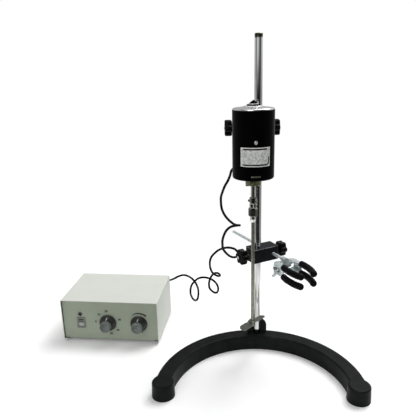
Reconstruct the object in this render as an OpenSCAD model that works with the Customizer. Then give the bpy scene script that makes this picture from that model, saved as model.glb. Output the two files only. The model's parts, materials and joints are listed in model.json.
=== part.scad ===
// Bench overhead stirrer on a horseshoe stand, with a flask clamp, a separate
// speed and timer box, and the springy cord between the box and the motor.
// Millimetres. The origin is on the table under the column, +Z up, and the
// motor head faces -Y.

/* [Stand] */
// Radius of the centre line of the horseshoe
ring_r = 164.5; // [140:0.5:200]
// Width of the cast band, over its top
band_w = 27; // [22:1:34]
// Height of the cast band
band_h = 28; // [22:1:34]
// Diameter of the round feet at the ends of the horseshoe
foot_d = 38; // [34:1:46]
// Turn of the base about the column
base_turn = -4; // [-10:1:10]
// Diameter of the hub that holds the column
hub_d = 38; // [34:1:44]
// Height of the hub
hub_h = 56; // [50:1:70]
// Diameter of the column
column_d = 14; // [12:0.5:16]
// Height of the top of the column above the table
column_top = 592; // [560:1:640]

/* [Boss heads] */
// Length of a boss head from the column to its far end
block_far = 39; // [36:1:46]
// Length of a boss head from the column to its near end
block_near = 17; // [15:1:22]
// Depth of a boss head, front to back
block_depth = 30; // [26:1:34]
// Height of a boss head
block_h = 27; // [24:1:32]
// Diameter over the lobes of a star knob
knob_d = 28; // [24:1:30]
// Thickness of a star knob
knob_t = 14; // [11:1:16]
// Diameter of the studs in the star knobs
stud_d = 6; // [5:0.5:7]

/* [Motor head] */
// Height of the motor's boss head above the underside of the motor
stub_rise = 77; // [65:0.5:90]
// Distance of the motor axis to the left of the column
motor_side = 14; // [13:0.5:18]
// Distance of the motor axis in front of the column
motor_out = 58; // [56:1:66]
// Outside diameter of the motor
motor_d = 70; // [66:1:76]
// Height of the underside of the motor
motor_z = 358.5; // [350:0.5:364]
// Height of the black motor housing
motor_h = 113; // [106:1:120]
// Wall of the motor housing
motor_wall = 2; // [1.5:0.1:3]
// Diameter of the stub that holds the motor in its boss head
stub_d = 10; // [8:0.5:10]
// Diameter of the motor shaft
shaft_d = 8; // [6:0.5:9]

/* [Chuck and stirrer] */
// Outside diameter of the fluted chuck nut
nut_d = 16; // [14:0.5:19]
// Diameter of the collar above the chuck
collar_d = 17; // [15:0.5:20]
// Diameter of the stirring rod
rod_d = 6; // [5:0.5:7]
// Height of the lower end of the stirring rod
rod_foot = 78; // [70:1:90]
// Span of the two impeller blades
impeller_span = 62; // [50:1:80]
// Width of the impeller blades
blade_w = 14; // [10:1:20]

/* [Flask clamp] */
// Height of the middle of the clamp's boss head
clamp_z = 197.5; // [180:0.5:230]
// Turn of the clamp about the column
clamp_turn = 27; // [20:1:34]
// Distance from the column to the clamp rod
clamp_pitch = 26; // [24:0.5:28]
// Diameter of the clamp rod
claw_rod_d = 6; // [5:0.5:7]
// Length of the clamp rod behind the boss head
rod_back = 133; // [100:1:150]
// Diameter of the rubber finger sleeves
sleeve_d = 12; // [10:0.5:13]
// Turn of the left jaw from straight ahead, outward
left_jaw_open = 0; // [-6:1:6]
// Turn of the right jaw from straight ahead, outward
right_jaw_open = -9; // [-10:1:6]

/* [Control box] */
// Width of the box
box_w = 200; // [190:1:230]
// Depth of the box
box_d = 135; // [125:1:160]
// Height of the top of the box above the table
box_h = 92; // [88:1:110]
// Place of the front left corner of the box, to the side of the column
box_x = -396; // [-420:1:-380]
// Place of the front left corner of the box, behind the column
box_y = 33; // [20:1:60]
// Turn of the box
box_turn = -6.6; // [-10:0.2:0]
// Thickness of the sheet metal
sheet = 1.2; // [1:0.1:2]
// Height of the rubber feet under the box
box_lift = 5; // [3:1:8]
// Overhang of the cover past the front panel
front_recess = 4; // [2:0.5:8]
// Diameter of the skirt of the panel knobs
skirt_d = 35; // [30:1:38]
// Diameter of the grip of the panel knobs
grip_d = 22; // [18:1:25]
// Length of a panel knob in front of the panel
dial_len = 22; // [18:1:26]

/* [Cord] */
// Diameter of the cord
cord_d = 4.6; // [4:0.1:6]

/* [Hidden] */
$fn = 64;

// Radial play of a part that slides or turns in another
play = 0.1;
// Gap between a part and its neighbour that it doesn't touch
gap = 0.3;

// Stand
draft = 1;
edge = 3;
foot_back = 5.5;
foot_angle = asin(foot_back / ring_r);
hub_round = 9;
ledge_rise = 4;
hub_floor = 6;
cheek_front = 1.5;
ledge_slope = atan(ledge_rise / (band_w / 2 - cheek_front));
set_screw_d = 6;
set_screw_z = hub_h - hub_round - 5;

// Boss heads
block_corner = 3;
block_edge = 0.8;
stud_knob_end = 1.5;
stud_tip_gap = 0.1;
stub_gap = 5.5;
head_gap = 6;
rod_gap = 9;
clamp_gap = 10;

// Motor
motor_r = motor_d / 2;
motor_top = motor_z + motor_h;
head_z = motor_z + stub_rise;
floor_t = 3;
bell_edge = 2;
bell_rise = 6;
bell_t = 2.5;
bell_spigot = 5;
bearing_d = 16;
bearing_h = 5;
upper_bearing_z = motor_top - 14;
flange_d = 26;
flange_h = 13;
flange_screw_ring = 10.7;
flange_screw_d = 2.5;
stator_z = motor_z + 28;
stator_h = 55;
stator_d = motor_d - 2 * motor_wall - 2 * play;
armature_d = 41;
commutator_d = 20;
plate_t = 0.6;
plate_z = motor_z + 24.5;
plate_h = 31;
plate_mid = 1;
plate_span = 82;
gland_angle = 130;
gland_z = motor_z + 8.5;
gland_d = 9;
gland_len = 10;

// Chuck, from the top down
spindle_foot = motor_z - 48.5;
collar_top = motor_z - 34.5;
collar_h = 10.5;
chuck_body_d = 12;
nut_top = motor_z - 53;
nut_h = 15.5;
body_in_nut = 10;
nose_d = 10;
nose_len = 16;
nose_foot = nut_top - body_in_nut - nose_len;
rod_top = nut_top + 2.5;

// Flask clamp
claw_drop = 11;
bracket_back = 45;
bracket_half = 13;
bracket_plate = 2.5;
bracket_rise = 6.5;
boss_d = claw_rod_d + 4;
boss_len = 13;
jaw_sheet = 2;
jaw_rise = bracket_rise + gap + jaw_sheet;
jaw_side = 24;
pivot_f = 56;
pivot_l = 9.5;
pivot_d = 4;
pin_wall = 4.5;
screw_f = 66;
screw_d = 4;
screw_room = 1.7;
wing_turn = 8;
prong_rise = 9;
prong_d = 5;
prong_l = 19;
prong_start = 73;
prong_len = 50;
prong_bulge = 3.8;
prong_r = (prong_len * prong_len / 4 + prong_bulge * prong_bulge) / (2 * prong_bulge);
prong_sweep = 2 * asin(prong_len / 2 / prong_r);

// Control box
bend_r = 2;
box_floor = box_lift + sheet;
panel_y = front_recess;
rear_y = box_d - front_recess;
lamp = [38, 61];
rocker = [39, 42];
speed = [box_w - 40, 43.5];
timer = [(rocker[0] + speed[0]) / 2 - 4, speed[1]];
dial_gap = 1;
dial_shaft_d = 6;
bush_d = 9;
timer_body = 40;
timer_depth = 28;
pot_d = 26;
pot_depth = 12;
gland_u = box_w - 32;
gland_body = 14;
gland_nut = 5;
gland_h = 66;
fuse = [60, 55];
inlet = [28, 40];
inlet_w = 28;
inlet_h = 20;

// Route of the cord, from the motor's gland to the gland of the box
cord_route = [
    [-42.9, -23.5, 367], [-46, -20, 366], [-49, -16, 361], [-51, -12, 352], [-55, -7, 341], [-60, -2, 331],
    [-64, 4, 319], [-67, 10, 307], [-67, 14, 295], [-66, 15, 285], [-63, 14, 276], [-58, 11, 268],
    [-51, 7, 261], [-43, 2, 256], [-36, -4, 256], [-34, -13, 259], [-40, -20, 261], [-50, -23, 260],
    [-58, -23, 254], [-63, -20, 244], [-66, -14, 231], [-66, -7, 220], [-65, 0, 209], [-61, 6, 200],
    [-54, 13, 190], [-46, 20, 183], [-38, 27, 181], [-34, 35, 185], [-40, 42, 191], [-51, 46, 193],
    [-62, 49, 191], [-72, 52, 186], [-80, 56, 178], [-87, 60, 168], [-90, 63, 157], [-90, 67, 144],
    [-87, 73, 131], [-81, 81, 120], [-72, 90, 112], [-69, 99, 111], [-75, 107, 112], [-84, 109, 108],
    [-90, 108, 99], [-93, 105, 89], [-92, 102, 79], [-85, 102, 70], [-77, 107, 65], [-73, 115, 69],
    [-75, 123, 76], [-82, 129, 83], [-93, 133, 88], [-105, 134, 90], [-116, 134, 88], [-125, 132, 82],
    [-132, 131, 73], [-135, 130, 61], [-134, 132, 47], [-128, 136, 34], [-121, 143, 31], [-118, 150, 41],
    [-119, 156, 54], [-126, 161, 68], [-137, 166, 77], [-150, 169, 81], [-163, 172, 77], [-174, 175, 70],
    [-185, 177, 65], [-196, 178, 64], [-206, 176, 65], [-212, 169, 66]
];
cord_sides = 8;

// Frames

module at_head() {
    translate([0, 0, head_z]) children();
}

module at_motor() {
    translate([-motor_side, -motor_out, 0]) children();
}

module at_clamp() {
    translate([0, 0, clamp_z]) rotate([0, 0, clamp_turn]) children();
}

module at_claw() {
    at_clamp() translate([clamp_pitch, 0, -claw_drop]) children();
}

module at_box() {
    translate([box_x, box_y, 0]) rotate([0, 0, box_turn]) children();
}

// Places a shape that is drawn along +Z so that it points along +X
module along_x() {
    rotate([0, 90, 0]) children();
}

// Places a shape that is drawn along +Z so that it points along +Y
module along_y() {
    rotate([-90, 0, 0]) children();
}

// Rounded rectangle about the origin
module round_rect(w, h, r) {
    square([w - 2 * r, h], center = true);
    square([w, h - 2 * r], center = true);
    for (sx = [-1, 1], sy = [-1, 1])
        translate([sx * (w / 2 - r), sy * (h / 2 - r)]) circle(r);
}

// Stand

module band_section() {
    half = band_w / 2;
    polygon([[-half - draft, 0], [half + draft, 0], [half, band_h - edge], [-half, band_h - edge]]);
    translate([0, band_h - edge]) square([band_w - 2 * edge, 2 * edge], center = true);
    for (s = [-1, 1]) translate([s * (half - edge), band_h - edge]) circle(edge);
}

module foot() {
    foot_r = foot_d / 2;
    rotate_extrude() {
        polygon([[0, 0], [foot_r + draft, 0], [foot_r, band_h - edge], [0, band_h - edge]]);
        square([foot_r - edge, band_h]);
        translate([foot_r - edge, band_h - edge]) intersection() {
            circle(edge);
            square(edge);
        }
    }
}

module hub_body() {
    rotate_extrude() {
        square([hub_d / 2 - hub_round, hub_h]);
        square([hub_d / 2, hub_h - hub_round]);
        translate([hub_d / 2 - hub_round, hub_h - hub_round]) intersection() {
            circle(hub_round);
            square(hub_round);
        }
    }
}

module base_casting() {
    color([0.16, 0.17, 0.18]) rotate([0, 0, base_turn]) difference() {
        union() {
            translate([0, -ring_r, 0]) {
                rotate([0, 0, foot_angle]) rotate_extrude(angle = 180 - 2 * foot_angle)
                    translate([ring_r, 0]) band_section();
                for (a = [foot_angle, 180 - foot_angle])
                    rotate([0, 0, a]) translate([ring_r, 0, 0]) foot();
            }
            difference() {
                hub_body();
                translate([0, -ring_r, -1]) cylinder(h = hub_h, r = ring_r - (band_w - edge) / 2, $fn = 180);
            }
        }
        // Everything in front of the cheeks, down a slope to the lip of the band
        translate([-hub_d, -cheek_front, band_h + ledge_rise]) rotate([ledge_slope, 0, 0])
            translate([0, -hub_d, 0]) cube([2 * hub_d, hub_d, hub_h]);
        translate([-hub_d, -cheek_front - hub_d, band_h + ledge_rise]) cube([2 * hub_d, hub_d, hub_h]);
        translate([0, 0, hub_floor]) cylinder(h = hub_h, d = column_d + 2 * play);
        translate([0, 0, set_screw_z]) along_y() cylinder(h = hub_d, d = set_screw_d + 2 * play);
    }
}

module column() {
    column_edge = 1;
    straight = column_top - hub_floor - column_edge;
    color([0.82, 0.83, 0.85]) translate([0, 0, hub_floor]) {
        cylinder(h = straight, d = column_d);
        translate([0, 0, straight]) cylinder(h = column_edge, d1 = column_d, d2 = column_d - 2 * column_edge);
    }
}

module column_screw() {
    length = hub_d / 2 - column_d / 2 + 1;
    color([0.25, 0.25, 0.27]) rotate([0, 0, base_turn]) translate([0, column_d / 2, set_screw_z]) along_y()
        difference() {
            cylinder(h = length, d = set_screw_d);
            translate([0, 0, length - 3]) cylinder(h = 4, d = 3.4, $fn = 6);
        }
}

// Boss heads

// side: +1 puts the far end towards +X and -1 towards -X
module boss_head(side, pitch, cross_d) {
    length = block_far + block_near;
    mid = side * (block_far - block_near) / 2;
    difference() {
        translate([mid, 0, 0]) intersection() {
            linear_extrude(block_h, center = true) round_rect(length, block_depth, block_corner);
            rotate([90, 0, 0]) linear_extrude(block_depth, center = true)
                round_rect(length, block_h, block_edge);
            rotate([90, 0, 90]) linear_extrude(length, center = true)
                round_rect(block_depth, block_h, block_edge);
        }
        cylinder(h = 2 * block_h, d = column_d + 2 * play, center = true);
        translate([side * pitch, 0, 0]) rotate([90, 0, 0])
            cylinder(h = 2 * block_depth, d = cross_d + 2 * play, center = true);
        translate([side * pitch, 0, 0]) mirror([side < 0 ? 1 : 0, 0, 0]) along_x()
            cylinder(h = length, d = stud_d + 2 * play);
        mirror([side > 0 ? 1 : 0, 0, 0]) along_x() cylinder(h = length, d = stud_d + 2 * play);
    }
}

// Star knob that points along +X with its inner face at x = 0
module star_knob() {
    lobes = 6;
    lobe_r = 4.4;
    ring = knob_d / 2 - lobe_r;
    chamfer = 1.5;
    neck = 2.5;
    difference() {
        union() {
            along_x() cylinder(h = neck, d = 14);
            intersection() {
                translate([neck, 0, 0]) along_x() linear_extrude(knob_t - neck) difference() {
                    union() {
                        circle(ring + 1);
                        for (i = [0 : lobes - 1])
                            rotate(i * 360 / lobes) translate([ring, 0]) circle(lobe_r);
                    }
                    for (i = [0 : lobes - 1])
                        rotate((i + 0.5) * 360 / lobes) translate([knob_d / 2 + 0.6, 0]) circle(3.4);
                }
                along_x() rotate_extrude() polygon([[0, neck], [knob_d / 2 - chamfer, neck],
                    [knob_d / 2, neck + chamfer], [knob_d / 2, knob_t - chamfer],
                    [knob_d / 2 - chamfer, knob_t], [0, knob_t]]);
            }
        }
        translate([-1, 0, 0]) along_x() cylinder(h = knob_t + 2, d = stud_d);
    }
}

// Stud from its tip at x = 0 along +X
module stud(length) {
    tip = 1;
    along_x() cylinder(h = tip, d1 = stud_d - 2 * tip, d2 = stud_d);
    translate([tip, 0, 0]) along_x() cylinder(h = length - tip, d = stud_d);
}

module left_side() {
    mirror([1, 0, 0]) children();
}

module head_block() {
    color([0.1, 0.1, 0.11]) at_head() boss_head(-1, motor_side, stub_d);
}

module stub_knob() {
    color([0.08, 0.08, 0.09]) at_head() left_side() translate([block_far + stub_gap, 0, 0]) star_knob();
}

module stub_stud() {
    tip = motor_side + stub_d / 2 + stud_tip_gap;
    color("silver") at_head() left_side() translate([tip, 0, 0])
        stud(block_far + stub_gap + knob_t + stud_knob_end - tip);
}

module head_knob() {
    color([0.08, 0.08, 0.09]) at_head() translate([block_near + head_gap, 0, 0]) star_knob();
}

module head_stud() {
    tip = column_d / 2 + stud_tip_gap;
    color("silver") at_head() translate([tip, 0, 0])
        stud(block_near + head_gap + knob_t + stud_knob_end - tip);
}

module clamp_block() {
    color([0.1, 0.1, 0.11]) at_clamp() boss_head(1, clamp_pitch, claw_rod_d);
}

module rod_knob() {
    color([0.08, 0.08, 0.09]) at_clamp() translate([block_far + rod_gap, 0, 0]) star_knob();
}

module rod_stud() {
    tip = clamp_pitch + claw_rod_d / 2 + stud_tip_gap;
    color("silver") at_clamp() translate([tip, 0, 0])
        stud(block_far + rod_gap + knob_t + stud_knob_end - tip);
}

module clamp_knob() {
    color([0.08, 0.08, 0.09]) at_clamp() left_side() translate([block_near + clamp_gap, 0, 0]) star_knob();
}

module clamp_stud() {
    tip = column_d / 2 + stud_tip_gap;
    color("silver") at_clamp() left_side() translate([tip, 0, 0])
        stud(block_near + clamp_gap + knob_t + stud_knob_end - tip);
}

// Motor head

// The stub seats on the round housing and runs back through its boss head
module mounting_stub() {
    boss_d = 20;
    boss_h = 5;
    seat = motor_r - motor_wall + 0.5;
    back = motor_out + block_depth / 2 + 5;
    color("silver") at_motor() translate([0, 0, head_z]) {
        translate([0, seat, 0]) along_y() cylinder(h = back - seat, d = stub_d);
        difference() {
            translate([0, motor_r - 3, 0]) along_y() cylinder(h = boss_h + 3, d = boss_d);
            translate([0, 0, -boss_d]) cylinder(h = 2 * boss_d, r = motor_r);
        }
    }
}

module motor_housing() {
    corner = 3;
    color([0.05, 0.05, 0.06]) difference() {
        at_motor() translate([0, 0, motor_z]) rotate_extrude() difference() {
            union() {
                square([motor_r - corner, motor_h]);
                translate([0, corner]) square([motor_r, motor_h - corner]);
                translate([motor_r - corner, corner]) circle(corner);
            }
            translate([0, floor_t]) square([motor_r - motor_wall, motor_h]);
            square([shaft_d / 2 + 1, 2 * floor_t]);
        }
        at_motor() translate([0, 0, head_z]) along_y() cylinder(h = motor_d, d = stub_d + 2 * play);
        at_motor() flange_screw_places() translate([0, 0, -1]) cylinder(h = 2 * floor_t, d = flange_screw_d);
        at_motor() translate([0, 0, gland_z]) rotate([0, 0, gland_angle]) along_x()
            cylinder(h = motor_d, d = cord_d + 1.4);
        at_front_screw() cylinder(h = 12, d = 3 + 2 * play, center = true);
    }
}

module top_bell() {
    r = motor_r - 0.7;
    crown = 2;
    spigot_r = motor_r - motor_wall - play;
    boss_r = bearing_d / 2 + 2.5;
    boss_foot = upper_bearing_z - motor_top;
    color([0.8, 0.81, 0.83]) at_motor() translate([0, 0, motor_top]) rotate_extrude() difference() {
        union() {
            square([r - crown, bell_edge]);
            translate([r - crown, 0]) intersection() {
                union() {
                    square([crown, bell_edge - crown + 0.6]);
                    translate([0, bell_edge - crown + 0.6]) circle(crown);
                }
                square([crown, bell_edge + 1]);
            }
            polygon([[0, 0], [r - crown, 0], [r - crown, bell_edge + 0.6], [20, 4.2], [11, bell_rise - 0.6],
                     [9, bell_rise], [0, bell_rise]]);
            translate([0, -bell_spigot]) square([spigot_r, bell_spigot]);
            translate([0, boss_foot]) square([boss_r, -boss_foot]);
        }
        polygon([[boss_r, -bell_spigot - 1], [spigot_r - bell_t, -bell_spigot - 1], [spigot_r - bell_t, 0],
                 [20, 4.2 - bell_t], [boss_r, 4.2 - bell_t]]);
        translate([0, boss_foot - 1]) square([bearing_d / 2 + play, bearing_h + 1]);
        square([shaft_d / 2 + 1, 30], center = true);
    }
}

module top_disc() {
    color([0.06, 0.06, 0.07]) at_motor() translate([0, 0, motor_top + bell_rise]) difference() {
        cylinder(h = 1.4, d = 20);
        translate([0, 0, -1]) cylinder(h = 3, d = 4 + 2 * play);
    }
}

module top_washer() {
    color("silver") at_motor() translate([0, 0, motor_top + bell_rise + 1.4]) difference() {
        cylinder(h = 1.2, d = 14.6);
        translate([0, 0, -1]) cylinder(h = 3, d = 4 + 2 * play);
    }
}

// Cone nut with the short stud that it closes the bell with
module top_cone() {
    base = motor_top + bell_rise + 2.6;
    color([0.06, 0.06, 0.07]) at_motor() {
        translate([0, 0, base]) cylinder(h = 1, d = 10.5);
        translate([0, 0, base + 1]) cylinder(h = 5, d1 = 10.5, d2 = 1.6);
        translate([0, 0, motor_top + bell_rise - 1]) cylinder(h = 4, d = 4);
    }
}

module stator() {
    poles = 4;
    color([0.45, 0.42, 0.4]) at_motor() translate([0, 0, stator_z]) {
        difference() {
            cylinder(h = stator_h, d = stator_d);
            translate([0, 0, -1]) cylinder(h = stator_h + 2, d = armature_d + 14);
        }
        for (i = [0 : poles - 1]) rotate([0, 0, (i + 0.5) * 360 / poles]) difference() {
            translate([armature_d / 2 - 1, -9, 0]) cube([8.5, 18, stator_h]);
            translate([0, 0, -1]) cylinder(h = stator_h + 2, d = armature_d + 1.2);
        }
    }
}

module bearing(z) {
    translate([0, 0, z]) difference() {
        cylinder(h = bearing_h, d = bearing_d);
        translate([0, 0, -1]) cylinder(h = bearing_h + 2, d = shaft_d + 2 * play);
    }
}

module motor_bearings() {
    color("silver") at_motor() {
        bearing(motor_z - bearing_h);
        bearing(upper_bearing_z);
    }
}

module brush_gear() {
    brush_w = 8;
    brush_h = 10;
    first = commutator_d / 2 + 0.6;
    color([0.55, 0.4, 0.2]) at_motor() translate([0, 0, stator_z + stator_h + 4]) intersection() {
        for (a = [0, 180]) rotate([0, 0, a]) translate([first, -brush_w / 2, 0])
            cube([motor_r - first, brush_w, brush_h]);
        cylinder(h = brush_h, r = motor_r - motor_wall - play);
    }
}

module nameplate() {
    start = -90 + plate_mid - plate_span / 2;
    color([0.82, 0.82, 0.83]) at_motor() translate([0, 0, plate_z]) rotate([0, 0, start])
        rotate_extrude(angle = plate_span) translate([motor_r + play, 0]) square([plate_t, plate_h]);
}

module at_front_screw() {
    at_motor() translate([0, 0, 422]) rotate([0, 0, -88.7]) along_x() translate([0, 0, motor_r]) children();
}

module front_screw() {
    color("silver") at_front_screw() {
        cylinder(h = 1.2, d = 5.6);
        translate([0, 0, 1.2]) cylinder(h = 0.8, d1 = 5.6, d2 = 3);
        translate([0, 0, 0.1 - motor_wall]) cylinder(h = motor_wall, d = 3);
    }
}

module flange_screw_places() {
    for (a = [60, 180, 300])
        translate([0, 0, motor_z]) rotate([0, 0, a]) translate([flange_screw_ring, 0, 0]) children();
}

module output_flange() {
    chamfer = 1;
    foot_z = motor_z - flange_h;
    color([0.55, 0.52, 0.36]) at_motor() difference() {
        union() {
            translate([0, 0, foot_z + chamfer]) cylinder(h = flange_h - chamfer, d = flange_d);
            translate([0, 0, foot_z]) cylinder(h = chamfer, d1 = flange_d - 2 * chamfer, d2 = flange_d);
        }
        translate([0, 0, motor_z - bearing_h - play]) cylinder(h = bearing_h + 1, d = bearing_d + 2 * play);
        translate([0, 0, foot_z - 1]) cylinder(h = flange_h + 2, d = shaft_d + 1);
        flange_screw_places() translate([0, 0, -flange_h - 1])
            cylinder(h = flange_h + 2, d = flange_screw_d + 2 * play);
    }
}

module flange_screws() {
    head_h = 1.8;
    color([0.2, 0.2, 0.2]) at_motor() flange_screw_places() translate([0, 0, -flange_h - head_h]) {
        cylinder(h = head_h, d = 4.2);
        cylinder(h = head_h + flange_h + floor_t, d = flange_screw_d);
    }
}

module motor_gland() {
    inner = motor_r - motor_wall - 2;
    color([0.1, 0.1, 0.1]) at_motor() translate([0, 0, gland_z]) rotate([0, 0, gland_angle]) difference() {
        union() {
            translate([inner, 0, 0]) along_x() cylinder(h = motor_r + 2 - inner, d = cord_d + 1.2);
            difference() {
                translate([motor_r - 2, 0, 0]) along_x() cylinder(h = 5, d = gland_d);
                translate([0, 0, -gland_d]) cylinder(h = 2 * gland_d, r = motor_r);
            }
            translate([motor_r + 3, 0, 0]) along_x()
                cylinder(h = gland_len - 3, d1 = gland_d, d2 = cord_d + 1);
        }
    }
}

// Rotor, chuck and stirrer

module rotor() {
    top = upper_bearing_z + bearing_h - 0.5;
    commutator_z = stator_z + stator_h - 1;
    color([0.6, 0.55, 0.5]) at_motor() {
        translate([0, 0, spindle_foot]) cylinder(h = top - spindle_foot, d = shaft_d);
        translate([0, 0, stator_z - 3]) difference() {
            cylinder(h = stator_h + 2, d = armature_d);
            for (i = [0 : 11]) rotate([0, 0, i * 30]) translate([armature_d / 2, 0, -1])
                cylinder(h = stator_h + 4, d = 4);
        }
        translate([0, 0, commutator_z]) cylinder(h = upper_bearing_z - 1 - commutator_z, d = commutator_d);
    }
}

module chuck_collar() {
    screw_reach = 4;
    color([0.62, 0.61, 0.56]) at_motor() {
        difference() {
            translate([0, 0, collar_top - collar_h]) rotate_extrude() difference() {
                polygon([[0, 0], [collar_d / 2, 0], [collar_d / 2, collar_h - 3],
                         [collar_d / 2 - 3, collar_h], [0, collar_h]]);
                square([shaft_d / 2, 3 * collar_h], center = true);
                square([shaft_d / 2, collar_h + 1]);
            }
            translate([0, 0, collar_top - 6]) mirror([1, 0, 0]) along_x() cylinder(h = collar_d, d = 4);
        }
        translate([-shaft_d / 2, 0, collar_top - 6]) mirror([1, 0, 0]) along_x()
            cylinder(h = (collar_d - shaft_d) / 2 + screw_reach - 2.5, d = 4);
    }
}

module chuck_body() {
    top = collar_top - collar_h;
    color([0.7, 0.69, 0.64]) at_motor() difference() {
        translate([0, 0, nut_top - body_in_nut]) cylinder(h = top - nut_top + body_in_nut, d = chuck_body_d);
        translate([0, 0, spindle_foot - 0.01]) cylinder(h = 20, d = shaft_d);
        translate([0, 0, nut_top - body_in_nut - 1])
            cylinder(h = rod_top - nut_top + body_in_nut + 1, d = rod_d + 2 * play);
        for (i = [0 : 2]) rotate([0, 0, i * 60 + 15]) translate([0, 0, nut_top + 3.8])
            cube([chuck_body_d + 2, 1.6, 5.4], center = true);
    }
}

module chuck_nut() {
    chamfer = 1.6;
    flutes = 20;
    color([0.55, 0.55, 0.52]) at_motor() translate([0, 0, nut_top - nut_h]) difference() {
        rotate_extrude() polygon([[0, 0], [nut_d / 2 - chamfer, 0], [nut_d / 2, chamfer],
            [nut_d / 2, nut_h - chamfer], [nut_d / 2 - chamfer, nut_h], [0, nut_h]]);
        for (i = [0 : flutes - 1]) rotate([0, 0, i * 360 / flutes])
            translate([nut_d / 2 + 0.2, 0, 1.5 * chamfer]) cylinder(h = nut_h - 3 * chamfer, r = 0.8);
        translate([0, 0, nut_h - body_in_nut - gap]) cylinder(h = nut_h, d = chuck_body_d + 2 * play);
        translate([0, 0, -1]) cylinder(h = nut_h, d = nose_d + 2 * play);
    }
}

// Three jaws that close on the rod below the nut
module chuck_jaws() {
    taper = nose_len / 3;
    color([0.8, 0.8, 0.78]) at_motor() translate([0, 0, nose_foot]) difference() {
        union() {
            translate([0, 0, taper]) cylinder(h = nose_len - taper, d = nose_d);
            cylinder(h = taper, d1 = rod_d + 1.6, d2 = nose_d);
        }
        translate([0, 0, -1]) cylinder(h = nose_len + 2, d = rod_d + 2 * play);
        for (i = [0 : 2]) rotate([0, 0, i * 120 + 30]) translate([0, -0.4, -1])
            cube([nose_d, 0.8, nose_len + 2]);
    }
}

module stirring_rod() {
    color([0.75, 0.75, 0.72]) at_motor() translate([0, 0, rod_foot]) {
        cylinder(h = rod_top - rod_foot, d = rod_d);
    }
}

module impeller() {
    hub_wall = 2.2;
    hub_len = 11;
    blade_t = 1.2;
    pitch = 77;
    reach = impeller_span / 2;
    turn = 47;
    mid = rod_foot + hub_len / 2 + 1;
    color([0.7, 0.72, 0.66]) at_motor() translate([0, 0, mid]) rotate([0, 0, turn]) difference() {
        union() {
            cylinder(h = hub_len, d = rod_d + 2 * hub_wall, center = true);
            for (a = [0, 180]) rotate([0, 0, a]) rotate([pitch, 0, 0]) translate([2, 0, 0])
                rotate([90, 0, 0]) linear_extrude(blade_t, center = true) blade_outline(reach);
        }
        cylinder(h = 2 * hub_len, d = rod_d, center = true);
    }
}

module blade_outline(reach) {
    root = blade_w / 4;
    intersection() {
        polygon([[0, -root], [reach / 3, -blade_w / 2], [reach, -blade_w / 2], [reach, blade_w / 2],
                 [reach / 3, blade_w / 2], [0, root]]);
        translate([reach / 2, 0]) round_rect(reach, blade_w, blade_w / 2 - 0.5);
    }
}

// Flask clamp: in the claw's frame the rod runs along -Y and the jaws open along X

module claw_rod() {
    color("silver") at_clamp() translate([clamp_pitch, -bracket_back - boss_len, 0]) along_y()
        cylinder(h = bracket_back + boss_len + rod_back, d = claw_rod_d);
}

// Yoke: a channel that carries the two pins, under the boss that holds the rod
module claw_bracket() {
    color([0.75, 0.76, 0.75]) at_claw() difference() {
        union() {
            translate([-bracket_half, -bracket_back - bracket_plate, -bracket_rise])
                cube([2 * bracket_half, bracket_plate, 2 * bracket_rise]);
            for (z = [-bracket_rise, bracket_rise - bracket_plate])
                translate([0, 0, z]) linear_extrude(bracket_plate) {
                translate([-bracket_half, -pivot_f]) square([2 * bracket_half, pivot_f - bracket_back]);
                translate([-pivot_l, -pivot_f - pin_wall]) square([2 * pivot_l, pin_wall + 1]);
                for (s = [-1, 1]) translate([s * pivot_l, -pivot_f]) circle(pin_wall);
            }
            translate([0, -bracket_back - boss_len, claw_drop]) along_y() cylinder(h = boss_len, d = boss_d);
            translate([-boss_d / 2 + 1, -bracket_back - boss_len, bracket_rise - 1])
                cube([boss_d - 2, boss_len, claw_drop - bracket_rise]);
        }
        translate([0, -bracket_back - 2 * boss_len, claw_drop]) along_y()
            cylinder(h = 3 * boss_len, d = claw_rod_d);
        for (s = [-1, 1]) translate([s * pivot_l, -pivot_f, 0])
            cylinder(h = 4 * bracket_rise, d = pivot_d + 2 * play, center = true);
    }
}

module jaw_pins() {
    rivet = 0.8;
    seat = jaw_rise + play;
    color("silver") at_claw() for (s = [-1, 1]) translate([s * pivot_l, -pivot_f, 0]) {
        cylinder(h = 2 * (seat + rivet), d = pivot_d, center = true);
        for (z = [-seat - rivet, seat]) translate([0, 0, z]) cylinder(h = rivet, d = pivot_d + 2.4);
    }
}

// Right jaw at rest angle 0, a channel of sheet with a plate over and under the
// yoke; the left jaw is its mirror image
module jaw_shape() {
    toe = prong_start + 4;
    difference() {
        union() {
            for (z = [-jaw_rise, jaw_rise - jaw_sheet])
                translate([0, 0, z]) linear_extrude(jaw_sheet) jaw_plan();
            linear_extrude(2 * jaw_rise, center = true) difference() {
                jaw_plan();
                polygon([[0, -bracket_back + 2], [jaw_side - 2 - jaw_sheet, -bracket_back + 2],
                         [jaw_side - jaw_sheet, -bracket_back - 6], [jaw_side - jaw_sheet, -screw_f - 3],
                         [prong_l + 2.5 - jaw_sheet, -toe - 1], [0, -toe - 1]]);
            }
            for (z = [-prong_rise, prong_rise]) prong(z, prong_d, 0, 0.9);
        }
        translate([pivot_l, -pivot_f, 0]) cylinder(h = 4 * jaw_rise, d = pivot_d + 2 * play, center = true);
    }
}

// Outline of the right jaw's plates: round about the pin, with a bulging back
module jaw_plan() {
    toe = prong_start + 4;
    translate([pivot_l, -pivot_f]) circle(pin_wall);
    polygon([[pivot_l - pin_wall, -pivot_f], [pivot_l - pin_wall + 0.6, -bracket_back - 4],
             [pivot_l - 1, -bracket_back - 0.6], [jaw_side - 8, -bracket_back],
             [jaw_side - 2, -bracket_back - 3],
             [jaw_side, -bracket_back - 7], [jaw_side, -screw_f - 3], [prong_l + 2.5, -toe],
             [prong_l - 2.5, -toe], [pivot_l + pin_wall - 1, -pivot_f - 7], [pivot_l, -pivot_f - pin_wall]]);
}

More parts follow.
